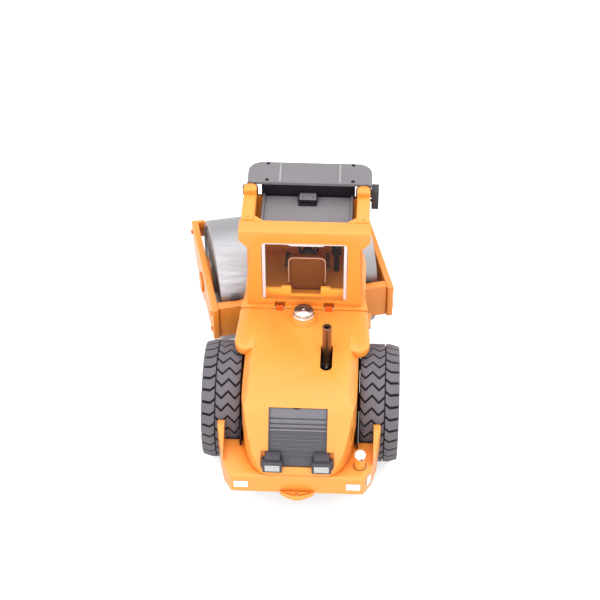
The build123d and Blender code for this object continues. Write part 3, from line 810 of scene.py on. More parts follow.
@dataclass(frozen=True)
class Metal(Finish):
    """Bare or plated metal, with turned lines across one axis if stretch is given."""

    roughness: float = 0.25
    stretch: Point3 = (1.0, 1.0, 1.0)
    lines: float = 0.15
    stain: Colour = (0.35, 0.3, 0.26)
    stain_share: float = 0.15
    metallic: float = 1.0

    def wire(self, tree: Tree, shader: Node, position: Socket) -> None:
        """Wires fine lines in gloss and height, and slow staining.

        Args:
            tree: the material's tree.
            shader: its shader.
            position: socket with the place on the object.
        """
        scaled = add(tree, "Mapping", Vector=position, Scale=self.stretch)
        grain = group_node(tree, grain_group(), scaled.outputs["Vector"], Fine=900.0, Broad=70.0)
        stain = ramp(tree, grain.outputs["Cloud"], 0.45, 0.75, 0.0, self.stain_share)
        tree.links.new(mix_colour(tree, stain, self.colour, self.stain), shader.inputs["Base Color"])
        shader.inputs["Metallic"].default_value = self.metallic
        gloss = (self.roughness * 0.75, self.roughness * 1.3)
        self.relief(tree, shader, grain, "Height", gloss, self.lines, 0.00003)


@dataclass(frozen=True)
class Clear(Finish):
    """Clear moulding, slightly smoky."""

    alpha: float = 0.25
    roughness: float = 0.06
    specular: float = 0.3

    def wire(self, tree: Tree, shader: Node, position: Socket) -> None:
        """Sets up a thin transparent glossy shader.

        Args:
            tree: the material's tree; not used.
            shader: its shader.
            position: socket with the place on the object; not used.
        """
        shader.inputs["Base Color"].default_value = (*self.colour, 1.0)
        shader.inputs["Roughness"].default_value = self.roughness
        shader.inputs["Alpha"].default_value = self.alpha
        shader.inputs["Specular IOR Level"].default_value = self.specular


BODY = Enamel("body_enamel", "body_paint", (0.94, 0.345, 0.052), corner=(0.8, 0.2, 0.015))
# darker, redder copy of the body enamel: painted shade on the drum frame and other parts that stand in shade
UNDER_SHADE = Enamel("frame_enamel", "frame_paint", (0.94, 0.31, 0.04), corner=(0.65, 0.12, 0.01))
# lighter copy of the body enamel that also glows: painted light on the interior that stands in shade
INNER_PAINTED_LIGHT = Enamel("inner_enamel", "body_paint", (0.98, 0.42, 0.05), corner=(0.9, 0.3, 0.03), glow=0.35)
# darker red copy of the body enamel: painted shade on the hinge knuckles
RED_PAINTED_SHADE = Enamel("hinge_enamel", "body_paint", (0.87, 0.12, 0.01), corner=(0.5, 0.05, 0.01), rub_and_highlight=0.1)
ROOF_GREY = Moulding("roof_grey", "dark_plastic", (0.205, 0.19, 0.205), roughness=0.4, grain=0.2)
# lighter copy of the roof plastic: painted highlight on the strips beside the visor's centre
PALE_GREY_HIGHLIGHT = Moulding("pale_grey", "dark_plastic", (0.33, 0.32, 0.33), roughness=0.35, grain=0.1)
GRILLE_GREY = Moulding("grille_grey", "dark_plastic", (0.165, 0.156, 0.178), roughness=0.42,
                       edge_lift=1.6)
# darker copy of the grille plastic: painted shade on the grille's lower part
GRILLE_PAINTED_SHADE = Moulding("grille_dark", "dark_plastic", (0.072, 0.068, 0.08), roughness=0.42, edge_lift=1.8)
LAMP_GREY = Moulding("lamp_grey", "dark_plastic", (0.05, 0.046, 0.058), roughness=0.4, edge_lift=2.4)
BLACK = Moulding("black_moulding", "black_plastic", (0.009, 0.006, 0.014), roughness=0.5,
                 edge_lift=2.0, dust=0.1, specular=0.3)
CHASSIS = Moulding("chassis_grey", "chassis_dark", (0.05, 0.05, 0.055), roughness=0.5)
TREAD = Moulding("tread_rubber", "tyre", (0.138, 0.126, 0.148), roughness=0.6, grain=0.5, fine=2200.0,
                 edge_lift=1.7)
# much darker copy of the tyre rubber: painted shade between the lugs
GROOVE_PAINTED_SHADE = Moulding("groove_rubber", "tyre", (0.018, 0.014, 0.02), roughness=0.8, grain=0.3, dust=0.1,
                  specular=0.3)
SEAT = Moulding("seat_brown", "seat_plastic", (0.2, 0.056, 0.003), roughness=0.5, grain=0.05,
                edge_lift=1.5, specular=0.2)
SEAT_DARK = Moulding("seat_dark", "seat_plastic", (0.11, 0.035, 0.006), roughness=0.4, grain=0.05)
# pale rim round the seat back: painted highlight
SEAT_RIM_HIGHLIGHT = Moulding("seat_piping", "seat_plastic", (0.8, 0.42, 0.26), roughness=0.3, grain=0.05)
LENS = Moulding("lamp_lens", "lens", (0.58, 0.61, 0.59), roughness=0.2, grain=0.1, edge_lift=1.0, dust=0.0)
# white plastic of the reflectors, and on the fuel cap a painted highlight
WHITE_LENS_AND_HIGHLIGHT = Moulding("white_lens", "lens", (0.88, 0.92, 0.9), roughness=0.2, grain=0.05, edge_lift=1.0,
                 dust=0.0)
ENGINE = Moulding("engine_grey", "engine_grey", (0.2, 0.2, 0.21), roughness=0.5, grain=0.5)
CHROME = Metal("chrome", "chrome", (0.8, 0.8, 0.81), roughness=0.16, lines=0.05, stain_share=0.05)
STEEL = Metal("steel", "steel", (0.6, 0.6, 0.61), roughness=0.28)
BRONZE = Metal("bronze", "bronze", (0.36, 0.2, 0.11), roughness=0.42, stain=(0.1, 0.06, 0.04),
               stain_share=0.6, metallic=0.85)
DRUM_SILVER = Metal("drum_silver", "drum_metal", (0.44, 0.43, 0.45), roughness=0.42, stretch=(0.15, 1.0, 1.0),
                    lines=0.06, metallic=0.95, stain=(0.5, 0.49, 0.5), stain_share=0.2)
DISC_GREY = Metal("disc_grey", "drum_metal", (0.3, 0.29, 0.28), roughness=0.5, metallic=0.1)
MIRROR = Metal("mirror", "mirror", (0.85, 0.85, 0.87), roughness=0.04, lines=0.0, stain_share=0.0)
GLASS = Clear("cab_glass", "glass", (0.8, 0.82, 0.84), alpha=0.01, specular=0.06)
SMOKED = Clear("smoked_glass", "glass", (0.2, 0.1, 0.075), alpha=0.7, roughness=0.12)
# nearly opaque pale blue on the glass edges: painted highlight
GLASS_EDGE_HIGHLIGHT = Clear("glass_rim", "glass", (0.9, 0.92, 0.97), alpha=0.75, roughness=0.3)


def dress(obj: Piece, finish: Finish) -> None:
    """Gives an object one finish in every material slot.

    Args:
        obj: object to dress.
        finish: the finish.
    """
    if not obj.data.materials:
        obj.data.materials.append(finish.material())
    for index in range(len(obj.material_slots)):
        obj.material_slots[index].material = finish.material()


@dataclass
class Assembly:
    """A sub-assembly that places, dresses and reports its pieces."""

    place: Matrix
    body: str

    def keep(self, obj: Piece, finish: Finish, *nodes: str, body: str | None = None,
             angle: float = SMOOTH_ANGLE) -> Piece:
        """Finishes a new piece: place, shading, finish, body and the CAD nodes it stands for.

        Args:
            obj: the new piece, in the unit's own coordinates.
            finish: its finish.
            nodes: CAD nodes that it replaces.
            body: body it rides on, the assembly's own if not given.
            angle: edges sharper than this stay sharp.

        Returns:
            The finished piece.
        """
        smooth(obj, angle)
        obj.data.transform(self.place)
        dress(obj, finish)
        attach(obj, body or self.body)
        if nodes:
            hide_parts(*nodes)
        LOG.info("%s: %d faces", obj.name, len(obj.data.polygons))
        return obj

    def build(self) -> None:
        """Builds every piece of the sub-assembly."""
        raise NotImplementedError


# ---- rear wheels ---------------------------------------------------------------
@dataclass
class RearWheels(Assembly):
    """Tyres with zig-zag lugs, dished rims and the axle."""

    castings: "Castings"
    inner: float = 16.7
    outer: float = 28.0
    crown: float = 16.3
    lugs: int = 30
    groove: float = 0.8
    zigzag: Outline = ((0.2, 0.9), (1.5, -0.9), (3.5, 1.15), (5.4, -0.9), (7.0, 0.7))
    shoulder: Outline = ((7.3, 0.5), (8.6, -0.5), (11.15, -0.1))
    round_from: float = 2.6
    drop: float = 0.13
    nut_count: int = 8
    nut_circle: float = 5.3
    nut_radius: float = 0.62
    nut_ends: Span = (22.6, 24.2)

    def carcass(self, side: str) -> Piece:
        """Builds the tyre body below the lugs, dark as painted shade between them.

        Args:
            side: left or right, for the name.

        Returns:
            The tyre body.
        """
        a, b, r = self.inner, self.outer, self.crown
        profile = [(a + 1.0, 10.2), (a + 0.2, 12.2), (a + 0.05, 14.0), (a + 0.45, 15.4), (a + 1.6, r - 0.15),
                   (a + 3.0, r), (b - 3.0, r), (b - 1.6, r - 0.15), (b - 0.45, 15.4), (b - 0.05, 14.0),
                   (b - 0.2, 12.2), (b - 1.0, 10.2)]
        return lathe(f"tyre_carcass_{side}", profile, (0, 0, AXLE_Z), Axis.X, 96)

    def surface_radius(self, x: float) -> float:
        """Works out the outer radius of the lugs at a place across the tyre.

        Args:
            x: the place, in millimetres.

        Returns:
            The radius in millimetres.
        """
        from_edge = min(x - self.inner, self.outer - x)
        return WHEEL_R - self.drop * max(0.0, self.round_from - from_edge) ** 2

    def lug(self, name: str, path: Sequence[Point2], width: float, shift: float) -> Piece:
        """Builds one flat lug that follows a zig-zag path across the tyre.

        Args:
            name: name of the lug.
            path: (distance from the tyre's inner side, offset along the rolling direction) points.
            width: size of the lug along the rolling direction.
            shift: offset of the whole lug along the rolling direction.

        Returns:
            The lug, its top at z = 0.
        """
        edge = [(x, s - width / 2) for x, s in path] + [(x, s + width / 2) for x, s in reversed(path)]
        lug = outline_prism(name, [(self.inner + x, s + shift) for x, s in edge], Axis.Z, (-1.0, 0.0))
        open_edit(lug)
        for x, _ in path[1:-1]:
            bpy.ops.mesh.select_all(action="SELECT")
            bpy.ops.mesh.bisect(plane_co=((self.inner + x) * MM, 0, 0), plane_no=(1, 0, 0))
        bpy.ops.object.mode_set(mode="OBJECT")
        apply_modifier(lug, "BEVEL", width=0.13 * MM, segments=1, limit_method="ANGLE",
                       angle_limit=math.radians(50))
        return lug

    def tread(self, side: str) -> Piece:
        """Builds all lugs of one tyre, modelled flat once and wrapped round the axle.

        Args:
            side: left or right, for the name.

        Returns:
            The tread.
        """
        pitch = math.tau * WHEEL_R / self.lugs
        pattern = [self.lug("lug", self.zigzag, pitch - self.groove, 0.0),
                   self.lug("shoulder_lug", self.shoulder, pitch - self.groove, pitch / 2)]
        first = join("lug", *pattern)
        more = [copy_of(first, f"lug_{k}", Matrix.Translation((0, k * pitch * MM, 0)))
                for k in range(1, self.lugs)]
        tread = join(f"tyre_tread_{side}", first, *more)
        self.wrap(tread)
        return tread

    def wrap(self, tread: Piece) -> None:
        """Rolls the flat tread round the axle, following the crown.

        Args:
            tread: flat tread with the rolling direction along y and its top at z = 0.
        """
        for vert in tread.data.vertices:
            x, s, depth = vert.co / MM
            radius = self.surface_radius(x) + depth
            angle = s / WHEEL_R
            vert.co = Vector((x, radius * math.sin(angle), AXLE_Z + radius * math.cos(angle))) * MM

    def rim(self, side: str) -> Piece:
        """Builds a dished rim.

        Args:
            side: left or right, for the name.

        Returns:
            The rim.
        """
        b = self.outer
        profile = [(14.7, 1.5), (26.2, 1.5), (26.3, 2.2), (26.1, 2.7), (24.7, 3.2), (23.9, 3.5), (22.8, 7.6),
                   (b - 1.6, 9.0), (b - 0.7, 9.3), (b - 0.6, 9.8), (b - 0.9, 10.2), (self.inner + 0.9, 10.2),
                   (self.inner + 0.9, 9.0), (20.6, 8.2), (21.8, 3.2), (16.8, 3.0), (16.4, 2.1), (14.7, 2.1)]
        rim = lathe(f"rear_rim_{side}_turned", profile, (0, 0, AXLE_Z), Axis.X, 64)
        return round_edges(rim, 0.12, 2, 40)

    def nuts(self, side: str) -> Piece:
        """Builds the ring of wheel nuts on the dish of one rim.

        Args:
            side: left or right, for the name.

        Returns:
            The nuts as one piece.
        """
        a, b = self.nut_ends
        first = round_edges(rod("nut", self.nut_radius, (a, self.nut_circle, AXLE_Z),
                                (b, self.nut_circle, AXLE_Z), 6), 0.1, 2)
        more = []
        for k in range(1, self.nut_count):
            angle = math.tau * k / self.nut_count
            move = Vector((0, math.cos(angle) - 1, math.sin(angle))) * self.nut_circle * MM
            more.append(copy_of(first, f"nut_{k}", Matrix.Translation(move)))
        return join(f"wheel_nuts_{side}", first, *more)

    def build(self) -> None:
        """Builds both wheels, the left one as a mirror image."""
        for side in ("right", "left"):
            made = [(self.carcass(side), GROOVE_PAINTED_SHADE, f"rear_tyre_{side}"), (self.tread(side), TREAD, ""),
                    (self.rim(side), BODY, f"rear_rim_{side}"), (self.nuts(side), STEEL, "")]
            for obj, finish, node in made:
                if side == "left":
                    shift(obj, MIRROR_X)
                self.keep(obj, finish, *([node] if node else []))
        self.castings.keep("rear_axle", STEEL)


# ---- pieces taken over from the CAD ---------------------------------------------
@dataclass
class Castings:
    """Softened copies of CAD nodes, and CAD nodes that stay and get a finish."""

    nodes: dict[str, Piece]
    weld: float = 0.002

    def soften(self, node: str, finish: Finish, body: str, radius: float = 0.2,
               cuts: Sequence[Piece] = ()) -> Piece:
        """Copies a CAD node, rounds its edges and lets the copy stand for it.

        Args:
            node: CAD node.
            finish: finish of the copy.
            body: body that it rides on.
            radius: edge rounding in millimetres.
            cuts: tool objects, in the frame's coordinates, cut out first.

        Returns:
            The copy.
        """
        source = self.nodes[node]
        piece = copy_of(source, node + "_cast")
        piece.parent = None
        for key in list(piece.keys()):
            del piece[key]
        open_edit(piece)
        close_edit(self.weld)
        carve(piece, *cuts)
        round_edges(piece, radius, 3)
        smooth(piece, 30)
        dress(piece, finish)
        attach(piece, body)
        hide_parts(node)
        LOG.info("%s: %d faces", piece.name, len(piece.data.polygons))
        return piece

    def soften_all(self, body: str, rows: Sequence[tuple[str, Finish, float]]) -> None:
        """Softens several CAD nodes that ride on one body.

        Args:
            body: the body.
            rows: CAD node, finish and edge rounding of each.
        """
        for node, finish, radius in rows:
            self.soften(node, finish, body, radius)

    def keep(self, node: str, finish: Finish) -> None:
        """Leaves a CAD node in place with a new finish.

        Args:
            node: CAD node.
            finish: its finish.
        """
        dress(self.nodes[node], finish)
        LOG.info("%s kept", node)


# ---- rear unit ---------------------------------------------------------------
@dataclass
class RearCasting(Assembly):
    """Bumper, chassis, tow hitch, reflectors and fuel filler."""

    castings: Castings
    filler: Point2 = (17.3, -26.4)
    neck: float = 20.8
    cap: Outline = ((-0.1, 0.0), (-0.1, 1.1), (0.1, 1.25), (0.5, 1.5), (0.95, 1.6), (1.4, 1.52),
                    (1.85, 1.27), (2.2, 0.85), (2.36, 0.35), (2.38, 0.0))
    ring: Outline = ((18.45, 1.5), (18.45, 1.9), (18.62, 1.85), (18.65, 1.5))
    hitch_half: Outline = ((4.9, -31.5), (4.4, -32.3), (2.2, -33.5), (0.8, -34.0))
    hitch_groove: Outline = ((0.3, -33.5), (0.3, -33.0), (3.9, -31.9), (4.1, -32.25))

    def fuel_filler(self) -> None:
        """Builds the domed cap, white as a painted highlight, with its dark lock and the ring round its neck.
        """
        x, y = self.filler
        z = self.neck + 1.2
        # the cap's white is a painted highlight
        self.keep(lathe("fuel_cap_dome", self.cap, (x, y, z), Axis.Z, 48), WHITE_LENS_AND_HIGHLIGHT, "fuel_cap", angle=50)
        neck = [(self.neck - 0.2, 0.0), (self.neck - 0.2, 1.45), (z + 0.1, 1.4), (z + 0.1, 0.0)]
        self.keep(lathe("fuel_neck", neck, (x, y, 0), Axis.Z, 40), UNDER_SHADE)
        lock = rod("fuel_cap_lock", 0.32, (x + 0.35, y - 1.1, z + 0.8), (x + 0.42, y - 1.55, z + 0.62), 16)
        self.keep(round_edges(lock, 0.06, 2), BLACK)
        self.keep(lathe("fuel_neck_ring", self.ring, (x, y, 0), Axis.Z, 40), BRONZE)

    def splash_guards(self) -> None:
        """Builds black sheets that fill the gap between the chassis and the tyres, painted shade."""
        floor = slab("splash_guards", (14.25, 16.6), (-20.0, 22.0), (12.4, 13.2), 0.1, 2)
        apron = slab("apron", (14.25, 18.0), (17.6, 22.0), (12.5, 13.1), 0.1, 2)
        skirt = block("skirt", (16.16, 16.62), (-20.0, 16.2), (12.9, 24.0))
        skirt = carve(skirt, rod("hub_gap", 3.5, (15.0, 0, AXLE_Z), (18.0, 0, AXLE_Z), 48))
        self.keep(with_mirror(join("splash_guards", floor, apron, skirt)), BLACK)

    def hitch(self) -> None:
        """Builds the tow hitch lug with two grooves that meet at its tip."""
        lug = outline_prism("hitch_lug", mirrored(self.hitch_half), Axis.Z, (11.7, 13.1))
        lug = round_edges(lug, 0.35, 4)
        for side in (-1, 1):
            cut = [(side * x, y) for x, y in self.hitch_groove]
            lug = carve(lug, outline_prism("groove", cut, Axis.Z, (12.6, 14.5)))
        lug = carve(lug, rod("bore", 0.6, (0, -32.5, 11), (0, -32.5, 14), 24))
        self.keep(lug, BODY, "tow_hitch")

    def build(self) -> None:
        """Builds the bumper group."""
        self.castings.soften("rear_bumper", BODY, REAR, 0.4)
        self.hitch()
        self.castings.soften("rear_chassis", CHASSIS, REAR, 0.15)
        self.splash_guards()
        self.castings.soften("bumper_reflectors", WHITE_LENS_AND_HIGHLIGHT, REAR, 0.12)
        self.castings.keep("axle_bushes", BRONZE)
        self.fuel_filler()


@dataclass
class EngineBay(Assembly):
    """Engine, cooling pack and exhaust."""

    castings: Castings
    pipe: Point2 = (7.1, 1.0)
    tube: Outline = ((26.0, 0.0), (26.0, 1.3), (44.9, 1.3), (45.1, 1.38), (45.45, 1.38), (45.6, 1.28),
                     (45.6, 1.05), (45.4, 0.95), (38.0, 0.95), (38.0, 0.0))
    # black lining inside the pipe's mouth: painted shade
    mouth_shade: Outline = ((38.1, 0.0), (38.1, 0.9), (44.6, 0.93), (44.6, 0.86), (38.3, 0.85), (38.3, 0.0))
    band: Outline = ((30.2, 1.28), (30.2, 1.55), (30.5, 1.62), (31.5, 1.62), (31.8, 1.55), (31.8, 1.28))

    def exhaust(self) -> None:
        """Builds the pipe with a rolled open mouth, a black lining in the mouth as painted shade, and the
        clamp with its bolt.
        """
        x, y = self.pipe
        tube = lathe("exhaust_tube", self.tube, (x, y, 0), Axis.Z, 40)
        self.keep(tube, BRONZE, "exhaust_pipe")
        self.keep(lathe("exhaust_soot", self.mouth_shade, (x, y, 0), Axis.Z, 32), BLACK)
        ring = lathe("exhaust_band", self.band, (x, y, 0), Axis.Z, 40)
        ear = slab("ear", (x - 0.35, x + 0.35), (y - 2.1, y - 1.5), (30.5, 31.5), 0.08, 2)
        self.keep(join("exhaust_band", ring, ear), STEEL, "exhaust_clamp")

    def build(self) -> None:
        """Builds the engine bay."""
        self.castings.soften_all(REAR, [("engine_block", ENGINE, 0.15), ("rocker_cover", ENGINE, 0.15),
                                        ("radiator", CHASSIS, 0.15), ("radiator_fan", BLACK, 0.08)])
        self.exhaust()


# ---- hood ----------------------------------------------------------------------
@dataclass
class Hood(Assembly):
    """Hood shell with grille, lamps, air cleaner cap and hinge."""

    castings: Castings
    slope_top: Point2 = (-21.3, 35.9)
    slope_end: Point2 = (-30.4, 20.5)
    half_grille: float = 8.05
    crease: float = 5.0
    steps: Outline = ((0.35, -1.2), (0.35, -0.75), (0.6, -0.5), (3.2, -0.5), (3.35, -0.85), (3.6, -0.85),
                      (3.7, -0.45), (4.7, -0.5), (4.85, -0.8), (5.05, -0.8), (5.15, -0.3), (5.9, -0.4),
                      (6.05, -0.75), (6.25, -0.75), (6.4, -0.2), (6.85, -0.2), (7.05, -0.55))
    # ridges: raised strips in paler grey, painted highlight lines
    ridges: tuple[Point3, ...] = ((3.85, -0.4, 0.1), (5.3, -0.25, 0.1), (6.6, -0.12, 0.17),
                                  (8.22, -0.36, 0.06), (9.42, -0.36, 0.06), (10.62, -0.36, 0.06),
                                  (11.82, -0.36, 0.05))
    faint: int = 6
    hinge: Point3 = (7.1, 18.3, 36.3)
    lamp_side: Outline = ((-31.7, 20.4), (-28.6, 20.4), (-28.0, 23.3), (-31.0, 23.95), (-31.7, 23.75))
    lamp_step: Outline = ((-30.6, 23.4), (-28.2, 23.0), (-27.1, 24.9), (-30.1, 24.75))
    lens_across: Span = (4.7, 8.85)
    lens_up: Span = (21.0, 23.3)
    flutes: int = 7
    flute_pitch: float = 0.56
    vent_plan: Outline = ((15.3, -17.0), (14.6, -21.0), (13.4, -25.0), (12.9, -26.2))
    vent_side: Outline = ((-26.2, 23.0), (-16.9, 23.0), (-16.9, 32.6), (-21.0, 32.6), (-26.2, 26.0))
    flare_plan: Outline = ((13.6, 0.3), (16.3, 0.2), (17.3, 0.5), (18.2, 1.2), (18.9, 2.3), (19.2, 3.6),
                           (19.2, 5.5), (18.5, 16.85), (13.6, 16.85))
    cleaner: Outline = ((38.75, 0.0), (38.75, 2.9), (38.9, 3.05), (39.3, 3.05), (39.42, 2.9), (39.45, 2.6),
                        (39.75, 2.6), (39.8, 2.85), (40.15, 2.85), (40.2, 2.5), (40.35, 2.5), (40.4, 2.8),
                        (40.6, 2.7), (40.95, 2.0), (41.25, 1.1), (41.27, 0.75), (41.2, 0.7), (41.2, 0.6),
                        (41.45, 0.5), (41.5, 0.0))

    def on_slope(self) -> Matrix:
        """Works out the placement of (across, down the slope, out of the slope) on the hood rear.

        Returns:
            The placement.
        """
        top, end = Vector((0, *self.slope_top)) * MM, Vector((0, *self.slope_end)) * MM
        down = (end - top).normalized()
        out = down.cross(Vector((1, 0, 0)))
        placed = Matrix((Vector((1, 0, 0)), down, out)).transposed().to_4x4()
        return Matrix.Translation(top) @ placed

    def grille(self) -> None:
        """Builds the stepped grille with its raised border and finger notch; its ridges are paler as painted
        highlight lines and its lower part darker as painted shade.
        """
        w = self.half_grille
        top = outline_prism("grille_upper", list(self.steps) + [(7.05, -1.2)], Axis.X, (-w, w))
        top = carve(top, block("cut", (-1.3, 0.3), (0.0, 0.8), (-2, 1)))
        section = [(7.05, -1.2), (7.05, -0.55)]
        for k in range(self.faint):
            t = 8.1 + 1.2 * k
            section += [(t - 0.1, -0.55), (t, -0.4), (t + 0.22, -0.42), (t + 0.32, -0.6)]
        low = outline_prism("grille_lower", section + [(17.1, -0.62), (17.15, -1.2)], Axis.X, (-w, w))
        edges = [slab("edge", (x - 0.14, x + 0.14), (0.4, 17.1), (-0.9, -0.1), 0.06, 2)
                 for x in (-w + 0.14, w - 0.14)]
        ridges = []
        for t, out, half in self.ridges:
            ridge = block("ridge", (-w + 0.4, w - 0.4), (t - half, t + half), (out - 0.2, out))
            ridges.append(round_edges(ridge, 0.04, 2))
        low, ridges = join("grille_lower", low, *edges), join("grille_ridges", *ridges)
        for obj, finish, nodes in ((top, GRILLE_GREY, ["grille"]), (low, GRILLE_PAINTED_SHADE, []),
                                   (ridges, ROOF_GREY, [])):
            shift(obj, self.on_slope())
            self.keep(obj, finish, *nodes, body=HOOD, angle=25)

    def lamps(self) -> None:
        """Builds the two work lamps with recessed fluted lenses."""
        across, up = self.lens_across, self.lens_up
        housing = round_edges(outline_prism("lamp_bodies", self.lamp_side, Axis.X, (4.05, 9.5)), 0.32, 4)
        housing = carve(housing, block("pocket", across, (-33, -31.2), up))
        step = round_edges(outline_prism("step", self.lamp_step, Axis.X, (4.6, 8.9)), 0.25, 3)
        bracket = slab("bracket", (9.3, 9.9), (-30.6, -28.6), (21.0, 23.6), 0.15, 2)
        bodies = with_mirror(join("lamp_bodies", housing, step, bracket))
        self.keep(bodies, LAMP_GREY, "work_lamp_housings", body=HOOD)
        lens = slab("lamp_glasses", across, (-31.75, -31.1), up, 0.15, 3)
        flute = rod("flute", 0.22, (5.1, -31.7, up[0] + 0.25), (5.1, -31.7, up[1] - 0.25), 12)
        more = [copy_of(flute, f"flute_{k}", Matrix.Translation((k * self.flute_pitch * MM, 0, 0)))
                for k in range(1, self.flutes)]
        glasses = with_mirror(join("lamp_glasses", lens, flute, *more))
        self.keep(glasses, LENS, "work_lamp_lenses", body=HOOD)

    def crease_cut(self) -> Piece:
        """Builds the tool that rounds the crease between the hood's top and its sloping rear.

        Returns:
            The tool, in the frame's coordinates.
        """
        corner = Vector(self.slope_top)
        back = (Vector((-17.4, 37.0)) - corner).normalized()
        down = (Vector(self.slope_end) - corner).normalized()
        half = (math.pi - back.angle(down)) / 2
        reach = self.crease * math.tan(half)
        inward = (back + down).normalized()
        lift = inward * 3
        centre = corner + inward * self.crease / math.cos(half)
        first, last = corner + back * reach, corner + down * reach
        start, end = (math.atan2(*(point - centre).yx) for point in (first, last))
        arc = []
        for k in range(11):
            angle = start + (end - start) * k / 10
            arc.append(centre + self.crease * Vector((math.cos(angle), math.sin(angle))))
        points = [tuple(point) for point in (*arc, last - lift, corner - lift, first - lift)]
        tool = outline_prism("crease_tool", points, Axis.X, (-20, 20))
        tool.data.transform(self.place)
        return tool

    def vents(self) -> None:
        """Builds the black sheet that shows through the slanted vents of both flanks, painted shade."""
        plan = [*self.vent_plan, *((x - 0.3, y) for x, y in reversed(self.vent_plan))]
        strip = outline_prism("vent_mesh", plan, Axis.Z, (22.5, 33.0))
        strip = common(strip, outline_prism("side", self.vent_side, Axis.X, (10, 20)))
        self.keep(with_mirror(strip), BLACK, body=HOOD)

    def shoulders(self) -> None:
        """Builds the rounded flares over the tyres that carry the hood's top outwards."""
        flare = outline_prism("hood_flares", self.flare_plan, Axis.Z, (34.5, 37.2))
        flare = bevel_where(flare, lambda mid, way: mid.z > 37 and mid.x > 15 and mid.y < 16.7, 1.1, 6)
        flare = round_edges(flare, 0.12, 2, 40)
        self.keep(with_mirror(flare), BODY, "hood_shoulders", body=HOOD)

    def hinge_knuckles(self) -> None:
        """Builds the hinge knuckles with their straps, in a darker red copy of the body paint as painted
        shade.
        """
        x, y, z = self.hinge
        profile = [(x - 1.14, 0.56), (x - 1.14, 1.04), (x + 1.14, 1.04), (x + 1.14, 0.56)]
        knuckle = lathe("hinge_knuckles", profile, (0, y, z), Axis.X, 32)
        strap = block("strap", (x - 1.14, x + 1.14), (y - 2.2, y - 0.5), (z - 0.9, z + 0.95))
        strap = round_edges(strap, 0.1, 2)
        self.keep(with_mirror(join("hinge_knuckles", knuckle, strap)), RED_PAINTED_SHADE, body=HOOD)

    def cleaner_cap(self) -> None:
        """Builds the bright cap with its rolled ring and faceted dome."""
        cap = lathe("cleaner_dome", self.cleaner, (0, 13.0, 0), Axis.Z, 56)
        self.keep(cap, CHROME, "air_cleaner_cap", body=HOOD)

    def build(self) -> None:
        """Builds the hood group."""
        self.castings.soften("hood", BODY, HOOD, 0.35, [self.crease_cut()])
        self.castings.keep("hood_hinge_pins", STEEL)
        self.grille()
        self.lamps()
        self.vents()
        self.shoulders()
        self.hinge_knuckles()
        self.cleaner_cap()


